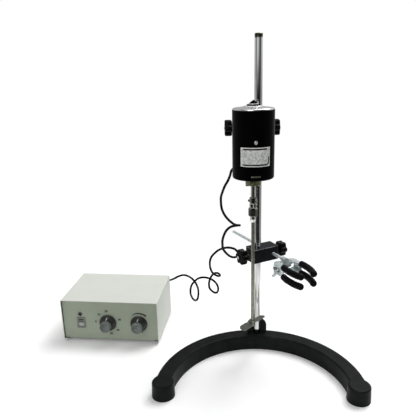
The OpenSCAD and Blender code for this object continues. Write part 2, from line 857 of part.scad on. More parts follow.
// Curved finger: an arc that bows outward, from share a0 to share a1 of its length
module prong(z, d, a0, a1) {
    translate([prong_l + prong_bulge - prong_r, -prong_start - prong_len / 2, z])
        rotate([0, 0, prong_sweep / 2 - a1 * prong_sweep]) rotate_extrude(angle = (a1 - a0) * prong_sweep)
            translate([prong_r, 0]) circle(d = d, $fn = 32);
}

module finger_sleeves() {
    tip_angle = -prong_sweep / 2;
    for (z = [-prong_rise, prong_rise]) difference() {
        union() {
            prong(z, sleeve_d, 0.08, 1);
            translate([prong_l + prong_bulge - prong_r, -prong_start - prong_len / 2, z])
                rotate([0, 0, tip_angle]) translate([prong_r, 0, 0]) sphere(d = sleeve_d, $fn = 32);
        }
        prong(z, prong_d, 0, 0.9);
    }
}

module jaw_turn(angle) {
    translate([pivot_l, -pivot_f, 0]) rotate([0, 0, angle]) translate([-pivot_l, pivot_f, 0]) children();
}

module jaw(angle) {
    difference() {
        jaw_turn(angle) jaw_shape();
        translate([0, -screw_f, 0]) along_x() cylinder(h = 2 * jaw_side, d = screw_d + 2 * screw_room);
    }
}

module right_jaw() {
    color([0.7, 0.72, 0.72]) at_claw() jaw(right_jaw_open);
}

module left_jaw() {
    color([0.7, 0.72, 0.72]) at_claw() left_side() jaw(left_jaw_open);
}

module right_sleeves() {
    color([0.1, 0.1, 0.1]) at_claw() jaw_turn(right_jaw_open) finger_sleeves();
}

module left_sleeves() {
    color([0.1, 0.1, 0.1]) at_claw() left_side() jaw_turn(left_jaw_open) finger_sleeves();
}

module wing_screw() {
    seat = jaw_side + gap;
    hub_h = 5;
    nut_seat = jaw_side - 0.2;
    nut_t = 3;
    color([0.72, 0.74, 0.73]) at_claw() translate([0, -screw_f, 0]) {
        translate([-seat - 1, 0, 0]) along_x() cylinder(h = seat + nut_seat + nut_t + 2, d = screw_d);
        translate([-seat - hub_h, 0, 0]) along_x() cylinder(h = hub_h, d1 = 6.5, d2 = 8);
        for (a = [0, 180]) translate([-seat, 0, 0]) rotate([a + wing_turn, 0, 0]) wing();
        translate([nut_seat, 0, 0]) along_x() cylinder(h = nut_t, d = 8, $fn = 6);
    }
}

module wing() {
    wing_t = 1.8;
    rotate([90, 0, 0]) linear_extrude(wing_t, center = true) {
        polygon([[-4.5, 0], [-0.5, 0], [-0.5, 3], [-6.5, 11], [-12, 8]]);
        translate([-9.2, 8.3]) circle(2.9);
    }
}

// Control box

module cover_section() {
    inner = sheet;
    difference() {
        union() {
            translate([box_w / 2, (box_h + box_lift) / 2]) round_rect(box_w, box_h - box_lift, bend_r);
            translate([0, box_lift]) square([box_w, 10]);
        }
        translate([inner, box_lift + sheet]) square([box_w - 2 * inner, box_h - box_lift - 2 * sheet]);
        translate([inner + 9, box_lift - 1]) square([box_w - 2 * inner - 18, 10]);
    }
}

module cover_screw_places() {
    for (x = [sheet + 4.5, box_w - sheet - 4.5], y = [25, box_d - 25]) translate([x, y, 0]) children();
}

module box_cover() {
    color([0.87, 0.87, 0.84]) at_box() difference() {
        translate([0, box_d, 0]) rotate([90, 0, 0]) linear_extrude(box_d) cover_section();
        cover_screw_places() cylinder(h = box_floor + 1, d = 3 + 2 * play);
    }
}

// Front panel, floor and rear panel folded from one sheet
module chassis_section() {
    top = box_h - sheet - gap;
    difference() {
        translate([panel_y, box_floor]) square([rear_y - panel_y, top - box_floor]);
        translate([panel_y + sheet, box_floor + sheet]) square([rear_y - panel_y - 2 * sheet, top]);
    }
}

module panel_place(at, y = 0) {
    translate([at[0], panel_y + y, at[1]]) children();
}

module box_chassis() {
    width = box_w - 2 * sheet - 2 * gap;
    color([0.62, 0.65, 0.59]) at_box() difference() {
        translate([sheet + gap, 0, 0]) rotate([90, 0, 90]) linear_extrude(width) chassis_section();
        panel_place(lamp, -1) along_y() cylinder(h = 4, d = 7 + 2 * play);
        panel_place(rocker, 0) translate([-6.6, -1, -9.6]) cube([13.2, 4, 19.2]);
        for (p = [timer, speed]) panel_place(p, -1) along_y() cylinder(h = 4, d = bush_d + 2 * play);
        translate([gland_u, rear_y - 3, gland_h]) along_y() cylinder(h = 6, d = 8 + 2 * play);
        translate([fuse[0], rear_y - 3, fuse[1]]) along_y() cylinder(h = 6, d = 12 + 2 * play);
        translate([inlet[0] - inlet_w / 2 + 0.5, rear_y - 3, inlet[1] - inlet_h / 2 + 0.5])
            cube([inlet_w - 1, 6, inlet_h - 1]);
        cover_screw_places() cylinder(h = 12, d = 2.5);
    }
}

module box_feet() {
    color([0.1, 0.1, 0.1]) at_box() for (x = [24, box_w - 24], y = [20, box_d - 20])
        translate([x, y, 0]) cylinder(h = box_floor, d1 = 12, d2 = 15);
}

module cover_screws() {
    head = 1.6;
    color("silver") at_box() cover_screw_places() translate([0, 0, box_lift - head]) {
        cylinder(h = head, d = 5.6);
        cylinder(h = head + 2 * sheet + 3, d = 2.5);
    }
}

module lamp_bezel() {
    color("silver") at_box() panel_place(lamp, 0) difference() {
        union() {
            translate([0, -1.5, 0]) along_y() cylinder(h = 1.5, d = 9);
            translate([0, -0.5, 0]) along_y() cylinder(h = 12, d = 7);
        }
        translate([0, -2, 0]) along_y() cylinder(h = 8, d = 5.4);
    }
}

module lamp_lens() {
    color([0.25, 0.05, 0.05]) at_box() panel_place(lamp, 0) {
        translate([0, -1.8, 0]) along_y() cylinder(h = 7, d = 5.4 - 2 * play);
        translate([0, -1.8, 0]) intersection() {
            sphere(d = 5.2);
            translate([-5, -5, -5]) cube([10, 5, 10]);
        }
    }
}

module rocker_frame() {
    frame_t = 2;
    body = 17;
    color([0.45, 0.46, 0.44]) at_box() panel_place(rocker, 0) difference() {
        union() {
            rotate([90, 0, 0]) linear_extrude(frame_t) round_rect(17, 23.4, 1);
            translate([-6.5, -0.5, -9.5]) cube([13, body, 19]);
        }
        translate([-5.4, -frame_t - 1, -8.6]) cube([10.8, body - 1, 17.2]);
    }
}

rocker_axis_y = 3.2;
rocker_tilt = 7;

module rocker_button() {
    half = 8.1;
    color([0.78, 0.78, 0.74]) at_box() panel_place(rocker, rocker_axis_y) rotate([rocker_tilt, 0, 0])
        translate([5.1, 0, 0]) rotate([90, 0, -90]) linear_extrude(10.2)
            polygon([[-3, 0], [-1.2, half - 0.4], [4.9, half - 0.6], [4, 0], [4.9, -half + 0.6],
                     [-1.2, -half + 0.4]]);
}

module timer_unit() {
    color([0.6, 0.6, 0.55]) at_box() panel_place(timer, 0) {
        translate([-timer_body / 2, sheet + 2, -timer_body / 2]) cube([timer_body, timer_depth, timer_body]);
        translate([0, -0.4, 0]) along_y() cylinder(h = sheet + 3, d = bush_d);
        dial_shaft();
    }
}

module speed_pot() {
    color([0.5, 0.5, 0.48]) at_box() panel_place(speed, 0) {
        translate([0, sheet + 2, 0]) along_y() cylinder(h = pot_depth, d = pot_d);
        translate([0, -0.4, 0]) along_y() cylinder(h = sheet + 3, d = bush_d);
        dial_shaft();
    }
}

module dial_shaft() {
    reach = dial_len - 6;
    translate([0, -reach, 0]) along_y() cylinder(h = reach, d = dial_shaft_d);
}

// Skirted knob with a fluted grip, its back face dial_gap in front of the panel
module dial() {
    skirt_t = 3;
    flutes = 16;
    r = grip_d / 2;
    difference() {
        rotate([90, 0, 0]) rotate_extrude() polygon([[0, dial_gap], [skirt_d / 2, dial_gap],
            [skirt_d / 2, dial_gap + 1.2], [skirt_d / 2 - 2, dial_gap + skirt_t],
            [r + 1.2, dial_gap + skirt_t + 1],
            [r, dial_len - 1], [r - 1, dial_len], [0, dial_len]]);
        for (i = [0 : flutes - 1]) rotate([0, (i + 0.5) * 360 / flutes, 0])
            translate([r + 1.4, -dial_len - 1, 0]) along_y()
                cylinder(h = dial_len - dial_gap - skirt_t - 1, r = 1.5);
        rotate([90, 0, 0]) cylinder(h = dial_len - 5, d = dial_shaft_d + 2 * play);
        rotate([90, 0, 0]) cylinder(h = dial_gap + 2, d = bush_d + 6);
    }
}

module timer_knob() {
    color([0.3, 0.31, 0.32]) at_box() panel_place(timer, 0) dial();
}

module speed_knob() {
    color([0.3, 0.31, 0.32]) at_box() panel_place(speed, 0) dial();
}

module circuit_board() {
    w = 90;
    d = 55;
    stand = 6;
    z = box_floor + sheet;
    color([0.15, 0.4, 0.25]) at_box() translate([box_w / 2 + 4, box_d / 2 - 8, z]) {
        translate([0, 0, stand]) cube([w - 24, d, 1.6]);
        for (x = [5, w - 29], y = [5, d - 5]) translate([x, y, 0]) cylinder(h = stand, d = 5);
        translate([6, 12, stand + 1.6]) cube([14, 30, 24]);
        translate([26, 14, stand + 1.6]) cube([14, 14, 10]);
        translate([50, 30, stand + 1.6]) cylinder(h = 16, d = 11);
        translate([28, 40, stand + 1.6]) cylinder(h = 12, d = 9);
    }
}

module fuse_holder() {
    color([0.1, 0.1, 0.1]) at_box() translate([fuse[0], rear_y, fuse[1]]) {
        translate([0, -22, 0]) along_y() cylinder(h = 22, d = 12);
        along_y() cylinder(h = 2, d = 15);
        translate([0, 2, 0]) along_y() cylinder(h = 6, d1 = 12, d2 = 10.5);
    }
}

module mains_inlet() {
    color([0.1, 0.1, 0.1]) at_box() translate([inlet[0], rear_y, inlet[1]]) difference() {
        union() {
            translate([-inlet_w / 2 + 0.6, -14, -inlet_h / 2 + 0.6]) cube([inlet_w - 1.2, 14, inlet_h - 1.2]);
            translate([-inlet_w / 2 - 1.5, 0, -inlet_h / 2 - 1.5]) cube([inlet_w + 3, 2.4, inlet_h + 3]);
        }
        translate([-inlet_w / 2 + 3, -11, -inlet_h / 2 + 3]) cube([inlet_w - 6, 20, inlet_h - 6]);
    }
}

module box_gland() {
    color([0.1, 0.1, 0.1]) at_box() translate([gland_u, rear_y, gland_h]) {
        translate([0, -6, 0]) along_y() cylinder(h = 8, d = 8);
        along_y() cylinder(h = gland_nut, d = 13, $fn = 6);
        translate([0, gland_nut, 0]) along_y() cylinder(h = gland_body, d1 = 11, d2 = cord_d + 1.2);
    }
}

// Cord, swept along its route with one ring at each of its points

cord_end = box_gland_mouth();
cord_path = concat(cord_route, [cord_end]);
cord_count = len(cord_path);

function box_gland_mouth() =
    let (u = gland_u, w = rear_y + gland_nut + gland_body)
    [box_x + u * cos(box_turn) - w * sin(box_turn), box_y + u * sin(box_turn) + w * cos(box_turn), gland_h];
function unit(v) = v / norm(v);
function cord_heading(i) =
    i == 0 ? [cos(gland_angle), sin(gland_angle), 0]
    : i == cord_count - 1 ? [sin(box_turn), -cos(box_turn), 0]
    : unit(cord_path[i + 1] - cord_path[i - 1]);
function level(v, t) = unit(v - (v * t) * t);
function cord_sides_at(i) =
    i == 0 ? level([0, 0, 1], cord_heading(0)) : level(cord_sides_at(i - 1), cord_heading(i));
function cord_ring(i, side) =
    let (t = cord_heading(i), other = cross(t, side))
    [for (k = [0 : cord_sides - 1]) cord_path[i]
        + cord_d / 2 * (cos(k * 360 / cord_sides) * side + sin(k * 360 / cord_sides) * other)];

module motor_cord() {
    points = [for (i = [0 : cord_count - 1]) each cord_ring(i, cord_sides_at(i))];
    faces = concat(
        [[for (k = [0 : cord_sides - 1]) k]],
        [for (i = [0 : cord_count - 2], k = [0 : cord_sides - 1])
            let (a = i * cord_sides + k, b = i * cord_sides + (k + 1) % cord_sides)
            [a, a + cord_sides, b + cord_sides, b]],
        [[for (k = [cord_sides - 1 : -1 : 0]) (cord_count - 1) * cord_sides + k]]);
    color([0.05, 0.05, 0.05]) polyhedron(points, faces);
}

base_casting();
column();
column_screw();
box_chassis();
box_cover();
box_feet();
cover_screws();
lamp_bezel();
lamp_lens();
rocker_frame();
rocker_button();
timer_unit();
timer_knob();
speed_pot();
speed_knob();
circuit_board();
fuse_holder();
mains_inlet();
box_gland();
motor_cord();
head_block();
stub_knob();
stub_stud();
head_knob();
head_stud();
mounting_stub();
motor_housing();
top_bell();
top_disc();
top_washer();
top_cone();
stator();
motor_bearings();
brush_gear();
nameplate();
front_screw();
output_flange();
flange_screws();
motor_gland();
rotor();
chuck_collar();
chuck_body();
chuck_nut();
chuck_jaws();
stirring_rod();
impeller();
clamp_block();
rod_knob();
rod_stud();
clamp_knob();
clamp_stud();
claw_rod();
claw_bracket();
jaw_pins();
left_jaw();
right_jaw();
left_sleeves();
right_sleeves();
wing_screw();
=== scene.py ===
import json
import math

import bmesh
import bpy
from mathutils import Matrix, Vector

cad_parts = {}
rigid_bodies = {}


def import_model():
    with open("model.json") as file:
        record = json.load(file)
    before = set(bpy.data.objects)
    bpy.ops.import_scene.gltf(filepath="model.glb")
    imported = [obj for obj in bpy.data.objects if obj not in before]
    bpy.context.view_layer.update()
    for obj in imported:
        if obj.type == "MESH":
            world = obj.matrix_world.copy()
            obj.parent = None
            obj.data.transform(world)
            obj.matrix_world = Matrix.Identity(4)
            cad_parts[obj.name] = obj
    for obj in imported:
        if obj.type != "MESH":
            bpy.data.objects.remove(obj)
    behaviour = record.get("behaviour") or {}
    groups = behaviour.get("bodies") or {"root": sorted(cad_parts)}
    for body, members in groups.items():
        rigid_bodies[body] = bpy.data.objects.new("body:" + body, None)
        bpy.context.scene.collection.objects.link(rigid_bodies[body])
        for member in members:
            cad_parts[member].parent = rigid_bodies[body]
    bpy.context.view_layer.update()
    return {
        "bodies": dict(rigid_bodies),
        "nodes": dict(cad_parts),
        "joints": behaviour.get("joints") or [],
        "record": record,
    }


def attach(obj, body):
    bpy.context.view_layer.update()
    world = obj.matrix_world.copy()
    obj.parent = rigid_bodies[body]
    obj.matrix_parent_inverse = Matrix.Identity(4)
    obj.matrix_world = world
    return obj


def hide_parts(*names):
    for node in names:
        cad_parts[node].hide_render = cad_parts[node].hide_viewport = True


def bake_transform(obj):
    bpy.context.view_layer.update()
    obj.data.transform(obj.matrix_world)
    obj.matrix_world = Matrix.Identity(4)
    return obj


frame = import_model()
nodes = frame["nodes"]
mm = 0.001


# Camera: matched to the photograph, in metres and radians
cameraSettings = {
    "place": (-0.0915, -0.8473, 0.5349),
    "pitchDown": 0.2818,
    "roll": -0.0228,
    "lens": 41.35, "sensor": 36,
    "nearest": 0.01,
}


def makeCamera():
    data = bpy.data.cameras.new("photoCamera")
    data.sensor_width = cameraSettings["sensor"]
    data.lens = cameraSettings["lens"]
    data.clip_start = cameraSettings["nearest"]
    camera = bpy.data.objects.new("photoCamera", data)
    bpy.context.scene.collection.objects.link(camera)
    tilt = Matrix.Rotation(math.pi / 2 - cameraSettings["pitchDown"], 4, "X")
    camera.matrix_world = (Matrix.Translation(cameraSettings["place"]) @ tilt
                           @ Matrix.Rotation(cameraSettings["roll"], 4, "Z"))
    bpy.context.scene.camera = camera


makeCamera()
print("stage: camera")


# Frames that the pieces are modelled in, in millimetres

def facing(place, direction):  # +Z of the piece looks along direction
    return Matrix.Translation(place) @ Vector(direction).to_track_quat("Z", "Y").to_matrix().to_4x4()


headFrame = Matrix.Translation((0, 0, 435.5))
motorFrame = Matrix.Translation((-14, -58, 0))
clampFrame = Matrix.Translation((0, 0, 197.5)) @ Matrix.Rotation(math.radians(27), 4, "Z")
boxFrame = Matrix.Translation((-396, 33, 0)) @ Matrix.Rotation(math.radians(-6.6), 4, "Z")
# On the front panel x runs along it and y up
panelFrame = boxFrame @ Matrix.Translation((0, 4, 0)) @ Matrix.Rotation(math.pi / 2, 4, "X")


# Shader maths: a wrapped socket that can be added, multiplied and so on

class Shade:
    def __init__(self, tree, socket=None):
        self.tree = tree
        self.socket = socket

    def add(self, kind, settings=None, inputs=None, output=0):
        made = self.tree.nodes.new(kind)
        for name, value in (settings or {}).items():
            if name == "stops":  # a ramp's places and colours
                ramp = made.color_ramp.elements
                ramp[0].position, ramp[1].position = value[0][0], value[-1][0]
                for place, colour in value[1:-1]:
                    ramp.new(place)
                for element, (place, colour) in zip(ramp, value):
                    element.color = (*colour, 1)
            else:
                setattr(made, name, value)
        for name, value in (inputs or {}).items():
            if isinstance(value, Shade):
                self.tree.links.new(value.socket, made.inputs[name])
            else:
                made.inputs[name].default_value = value
        return Shade(self.tree, made.outputs[output])

    def maths(self, operation, first, second=0.0):
        return self.add("ShaderNodeMath", {"operation": operation}, {0: first, 1: second})

    def __add__(self, other):
        return self.maths("ADD", self, other)

    def __sub__(self, other):
        return self.maths("SUBTRACT", self, other)

    def __rsub__(self, other):
        return self.maths("SUBTRACT", other, self)

    def __mul__(self, other):
        return self.maths("MULTIPLY", self, other)

    def __truediv__(self, other):
        return self.maths("DIVIDE", self, other)

    def __pow__(self, other):
        return self.maths("POWER", self, other)

    def size(self):
        return self.maths("ABSOLUTE", self)

    def least(self, other):
        return self.maths("MINIMUM", self, other)

    def most(self, other):
        return self.maths("MAXIMUM", self, other)

    def step(self, low, high):  # 0 below low, 1 above high, smooth between
        return self.add("ShaderNodeMapRange", {"interpolation_type": "SMOOTHSTEP"},
                        {"Value": self, "From Min": low, "From Max": high})

    def place(self):  # where the point is in the object, in metres
        return self.add("ShaderNodeTexCoord", output=3)

    def parts(self, vector):
        split = self.tree.nodes.new("ShaderNodeSeparateXYZ")
        self.tree.links.new(vector.socket, split.inputs[0])
        return [Shade(self.tree, out) for out in split.outputs]

    def moved(self, shift=(0, 0, 0), turn=(0, 0, 0), scale=(1, 1, 1)):
        return self.add("ShaderNodeMapping", {"vector_type": "POINT"},
                        {"Vector": self, "Location": shift, "Rotation": turn, "Scale": scale})

    def noise(self, scale, detail):
        return self.add("ShaderNodeTexNoise", {}, {"Vector": self, "Scale": scale, "Detail": detail,
                                                   "Roughness": 0.5})

    def mix(self, first, second):  # self is the share of second
        made = self.tree.nodes.new("ShaderNodeMix")
        made.data_type = "RGBA"
        self.tree.links.new(self.socket, made.inputs[0])
        for place, value in ((6, first), (7, second)):
            if isinstance(value, Shade):
                self.tree.links.new(value.socket, made.inputs[place])
            else:
                made.inputs[place].default_value = (*value, 1)
        return Shade(self.tree, made.outputs[2])

    def bump(self, height, distance):
        return self.add("ShaderNodeBump", {}, {"Height": height, "Distance": distance, "Strength": 1.0})


def newMaterial(name, fixed, make):
    material = bpy.data.materials.new(name)
    material.use_nodes = True
    tree = material.node_tree
    surface = tree.nodes["Principled BSDF"]
    for socket, value in fixed.items():
        surface.inputs[socket].default_value = value
    for socket, value in make(Shade(tree)).items():
        tree.links.new(value.socket, surface.inputs[socket])
    return material


def dress(material, *names):
    for name in names:
        nodes[name].data.materials.clear()
        nodes[name].data.materials.append(material)


# Painted, moulded and cast surfaces: a colour with patches, dust, and a bump at two scales
# A span holds the two noise levels between which a share grows from 0 to 1
coatSettings = {"patchSpan": (0.35, 0.7), "dustSpan": (0.62, 0.8), "grainRough": 0.04}


def coatedMaterial(name, look):  # mask: where the surface takes another colour
    def make(shade):
        point = shade.place()
        patches = point.noise(look["patchScale"], 4)
        grain = point.noise(look["grainScale"], 2)
        colour = patches.step(*coatSettings["patchSpan"]).mix(look["colour"], look["patchColour"])
        dust = grain.step(*coatSettings["dustSpan"]) * look["dust"]
        colour = dust.mix(colour, look["dustColour"])
        if "mask" in look:
            maskPatchShare = patches.step(*look["maskPatches"]) if "maskPatches" in look else 1.0
            share = look["mask"](shade) * maskPatchShare
            colour = share.mix(colour, look["maskColour"])
        rough = (patches * look["roughSpread"] + (look["rough"] - look["roughSpread"] / 2)
                 + grain * coatSettings["grainRough"])
        height = grain + patches * look["patchHeight"]
        return {"Base Color": colour, "Roughness": rough, "Normal": shade.bump(height, look["bump"])}
    fixed = {"Metallic": look.get("metallic", 0.0), "Specular IOR Level": look.get("specular", 0.5)}
    return newMaterial(name, fixed, make)


# Masks in a piece's own frame: what lies inside a box, and how near a point is to a block's edges
boxSoftness = 0.05  # in millimetres
edgeCore = 0.3  # the share of an edge's width that takes the full painted highlight


def insideBox(shade, frame, low, high):  # 1 inside the box from low to high, in millimetres, 0 outside it
    turn = -frame.to_euler().z
    shift = -(Matrix.Rotation(turn, 3, "Z") @ frame.translation * mm)
    here = shade.place().moved(shift=shift, turn=(0, 0, turn))
    share = None
    for part, least, most in zip(shade.parts(here), low, high):
        above, beyond = [part.step((wall - boxSoftness) * mm, (wall + boxSoftness) * mm)
                         for wall in (least, most)]
        held = above * (1 - beyond)
        share = held if share is None else share * held
    return share


def edgeHighlightShare(shade, frame, size, middle, width):  # 1 on the edges of a block of this size
    turn = -frame.to_euler().z
    shift = -(Matrix.Rotation(turn, 3, "Z") @ frame.translation + Vector(middle)) * mm
    a, b, c = [part.size() - side * mm / 2 for part, side in
               zip(shade.parts(shade.place().moved(shift=shift, turn=(0, 0, turn))), size)]
    second = a.least(b).most(a.most(b).least(c))
    return second.step(-width * mm, -width * mm * edgeCore)


# Bare metal: brushed or turned along one axis, with patches, a stain above a level, and painted shade
metalSettings = {"patchSpan": (0.4, 0.75), "streakSpan": (0.5, 0.8), "patchRough": 0.05}


def metalMaterial(name, look):
    def make(shade):
        point = shade.place()
        streaks = point.moved(scale=look["streak"]).noise(look["streakScale"], 3)
        patches = point.noise(look["patchScale"], 4)
        colour = patches.step(*metalSettings["patchSpan"]).mix(look["colour"], look["patchColour"])
        streaked = streaks.step(*metalSettings["streakSpan"]) * look["streakShare"]
        colour = streaked.mix(colour, look["streakColour"])
        if "stain" in look:
            level = shade.parts(point)[2] + (patches - 0.5) * look["stainUneven"]
            colour = level.step(*look["stain"]).mix(colour, look["stainColour"])
        if "paintedShadeMask" in look:
            colour = look["paintedShadeMask"](shade, point).mix(colour, look["paintedShadeMaskColour"])
        patchRough = look.get("patchRough", metalSettings["patchRough"])
        rough = streaks * look["roughSpread"] + look["rough"] + patches * patchRough
        return {"Base Color": colour, "Roughness": rough, "Normal": shade.bump(streaks, look["bump"])}
    return newMaterial(name, {"Metallic": 1.0}, make)


castLook = {
    "colour": (0.0045, 0.005, 0.0052), "patchColour": (0.008, 0.009, 0.0095),
    "dustColour": (0.05, 0.05, 0.05), "patchScale": 60, "grainScale": 900, "dust": 0.25,
    "rough": 0.4, "roughSpread": 0.12, "patchHeight": 1.2, "bump": 0.00012, "specular": 0.07,
}
motorLook = {
    "colour": (0.0012, 0.0012, 0.0014), "patchColour": (0.002, 0.002, 0.0022),
    "dustColour": (0.012, 0.012, 0.012), "patchScale": 40, "grainScale": 1500, "dust": 0.06,
    "rough": 0.22, "roughSpread": 0.06, "patchHeight": 0.6, "bump": 0.00001, "specular": 0.03,
}
blockLook = {
    "colour": (0.005, 0.0055, 0.0065), "patchColour": (0.009, 0.0095, 0.011),
    "dustColour": (0.03, 0.03, 0.03), "patchScale": 90, "grainScale": 1400, "dust": 0.2,
    "rough": 0.34, "roughSpread": 0.1, "patchHeight": 0.8, "bump": 0.00006, "specular": 0.07,
}
knobLook = {
    "colour": (0.0022, 0.0024, 0.0026), "patchColour": (0.0035, 0.0035, 0.004),
    "dustColour": (0.015, 0.015, 0.015), "patchScale": 120, "grainScale": 2500, "dust": 0.08,
    "rough": 0.3, "roughSpread": 0.1, "patchHeight": 0.5, "bump": 0.00003, "specular": 0.06,
}
coverLook = {
    "colour": (0.625, 0.645, 0.595), "patchColour": (0.61, 0.63, 0.58),
    "dustColour": (0.57, 0.59, 0.54), "patchScale": 25, "grainScale": 1600, "dust": 0.12,
    "rough": 0.5, "roughSpread": 0.06, "patchHeight": 0.4, "bump": 0.00002, "specular": 0.3,
}
panelLook = {
    "colour": (0.33, 0.375, 0.295), "patchColour": (0.315, 0.36, 0.28),
    "dustColour": (0.38, 0.43, 0.35), "patchScale": 30, "grainScale": 1600, "dust": 0.1,
    "rough": 0.5, "roughSpread": 0.06, "patchHeight": 0.4, "bump": 0.00002, "specular": 0.3,
}
rubberLook = {
    "colour": (0.0025, 0.0025, 0.003), "patchColour": (0.006, 0.006, 0.007),
    "dustColour": (0.03, 0.03, 0.03), "patchScale": 150, "grainScale": 2200, "dust": 0.12,
    "rough": 0.38, "roughSpread": 0.14, "patchHeight": 0.8, "bump": 0.00006, "specular": 0.05,
}
fittingLook = dict(knobLook, rough=0.42)
rockerFrameLook = dict(panelLook, colour=(0.2, 0.21, 0.19), patchColour=(0.17, 0.18, 0.16), rough=0.3)
rockerLook = dict(panelLook, colour=(0.4, 0.42, 0.38), patchColour=(0.36, 0.38, 0.34), rough=0.22)
bezelLook = dict(panelLook, colour=(0.13, 0.14, 0.12), patchColour=(0.1, 0.11, 0.095), rough=0.3)
lampLook = dict(motorLook, colour=(0.006, 0.005, 0.005), patchColour=(0.01, 0.008, 0.008), specular=0.4)
dialLook = dict(knobLook, colour=(0.02, 0.021, 0.019), patchColour=(0.03, 0.031, 0.028),
                rough=0.3, specular=0.5)
gripLook = dict(panelLook, colour=(0.15, 0.175, 0.16), patchColour=(0.18, 0.205, 0.19), rough=0.32)
whiteLook = dict(panelLook, colour=(0.8, 0.8, 0.78), patchColour=(0.75, 0.75, 0.73), rough=0.4)
stripLook = dict(panelLook, colour=(0.09, 0.088, 0.065), patchColour=(0.16, 0.155, 0.12),
                 rough=0.35, metallic=0.3)
inkLook = dict(panelLook, colour=(0.02, 0.023, 0.02), patchColour=(0.03, 0.033, 0.03), rough=0.5)
controlLook = dict(panelLook, colour=(0.3, 0.28, 0.22), patchColour=(0.27, 0.25, 0.2))
boardLook = dict(panelLook, colour=(0.02, 0.12, 0.05), patchColour=(0.03, 0.15, 0.06), rough=0.4)

columnLook = {
    "colour": (0.66, 0.67, 0.67), "patchColour": (0.56, 0.56, 0.54),
    "streakColour": (0.45, 0.45, 0.43), "streak": (1, 1, 0.02), "streakScale": 1500, "streakShare": 0.3,
    "patchScale": 30, "rough": 0.03, "roughSpread": 0.04, "bump": 0.000003,
}
brightLook = dict(columnLook, streak=(1, 1, 1), streakScale=600, patchScale=80, rough=0.16)
bellLook = dict(columnLook, colour=(0.7, 0.7, 0.71), streak=(1, 1, 6), streakScale=300, rough=0.2)
coreLook = dict(brightLook, colour=(0.6, 0.6, 0.53), patchColour=(0.45, 0.45, 0.4), rough=0.1)
jawLook = dict(brightLook, colour=(0.8, 0.8, 0.76), rough=0.08)
brassLook = dict(brightLook, colour=(0.6, 0.42, 0.18), rough=0.35)
chuckLook = dict(brightLook, colour=(0.26, 0.26, 0.23), patchColour=(0.14, 0.14, 0.12), rough=0.1)
paddleLook = dict(brightLook, colour=(0.2, 0.21, 0.185), patchColour=(0.13, 0.135, 0.115), rough=0.26)
satinLook = {
    "colour": (0.68, 0.74, 0.745), "patchColour": (0.5, 0.55, 0.555),
    "dustColour": (0.4, 0.42, 0.42), "patchScale": 130, "grainScale": 1800, "dust": 0.3,
    "rough": 0.3, "roughSpread": 0.12, "patchHeight": 0.6, "bump": 0.00003, "metallic": 0.8,
}
satinRodLook = dict(satinLook, metallic=0.5)
satinSteelLook = dict(satinLook, colour=(0.8, 0.81, 0.8), patchColour=(0.66, 0.67, 0.66),
                      metallic=0.3, bump=0.00001)
capLook = dict(motorLook, rough=0.7, specular=0.0)
flangeLook = dict(satinLook, colour=(0.25, 0.25, 0.13), patchColour=(0.12, 0.12, 0.07), metallic=0.35)
bodyLook = dict(satinLook, colour=(0.8, 0.8, 0.72), patchColour=(0.62, 0.62, 0.55),
                metallic=0.3, bump=0.00001)
rodLook = dict(satinLook, colour=(0.27, 0.275, 0.21), patchColour=(0.19, 0.19, 0.15),
               metallic=0.6, rough=0.2, bump=0.000005)
nickelLook = dict(satinLook, colour=(0.62, 0.61, 0.52), patchColour=(0.5, 0.49, 0.42), metallic=0.4)
screwLook = dict(brightLook, colour=(0.03, 0.03, 0.03), patchColour=(0.05, 0.05, 0.05), rough=0.4)

cast = coatedMaterial("castEnamel", castLook)
motorPaint = coatedMaterial("motorPaint", motorLook)

# Boss heads: painted highlight, a paler colour in patches along the edges
paintedEdgeHighlight = {"maskPatches": (0.4, 0.55), "maskColour": (0.25, 0.28, 0.3)}
blockSettings = {"size": (56, 30, 27), "middle": 11, "edge": 0.9}


def makeBlockPaint(name, frame, side):  # side: -1 or 1, where the block reaches out along its x
    s = blockSettings
    return coatedMaterial(name, dict(blockLook, **paintedEdgeHighlight, mask=lambda shade: edgeHighlightShare(
        shade, frame, s["size"], (side * s["middle"], 0, 0), s["edge"])))


headBlockPaint = makeBlockPaint("headBlockPaint", headFrame, -1)
clampBlockPaint = makeBlockPaint("clampBlockPaint", clampFrame, 1)
knobPlastic = coatedMaterial("knobPlastic", knobLook)

# Control box: painted shade inside the cover and below the chassis, and painted shade on the rocker's
# upper half
boxSettings = {
    "coverInside": ((0.7, 0.9, 0), (199.3, 134.2, 91.3)), "coverInsideColour": (0.035, 0.04, 0.03),
    "underside": ((3, 6.5, -1), (197, 132, 12)), "undersideColour": (0.008, 0.008, 0.008),
    "paintedRockerShade": (0.0405, 0.0425), "paintedRockerShadeColour": (0.12, 0.125, 0.11),
}


def makeBoxPaint(name, look, place):  # the look's colour, and painted shade in a place of the box
    return coatedMaterial(name, dict(
        look, mask=lambda shade: insideBox(shade, boxFrame, *boxSettings[place]),
        maskColour=boxSettings[place + "Colour"]))


# the inside of the cover is painted dark as shade
coverPaint = makeBoxPaint("coverPaint", coverLook, "coverInside")

# Nameplate: sizes in millimetres on the shell, with turn in degrees round the motor's axis
plateSettings = {
    "radius": 35.4, "turn": -89, "half": (25.3, 15.5), "middle": 398.5, "inset": (2.4, 2.7), "corner": 4.5,
    "line": 1.35, "rim": 1.3, "core": 0.8, "from": -20.5, "openFrom": 19.0, "fade": 1,
    "patchScale": 330, "patchSpan": (0.4, 0.6), "rough": 0.25, "roughSpread": 0.2, "bump": 0.00003,
    "colour": (0.58, 0.6, 0.58), "patchColour": (0.92, 0.93, 0.9), "rimColour": (1.0, 1.0, 1.0),
    "lineColour": (0.004, 0.004, 0.004),
}


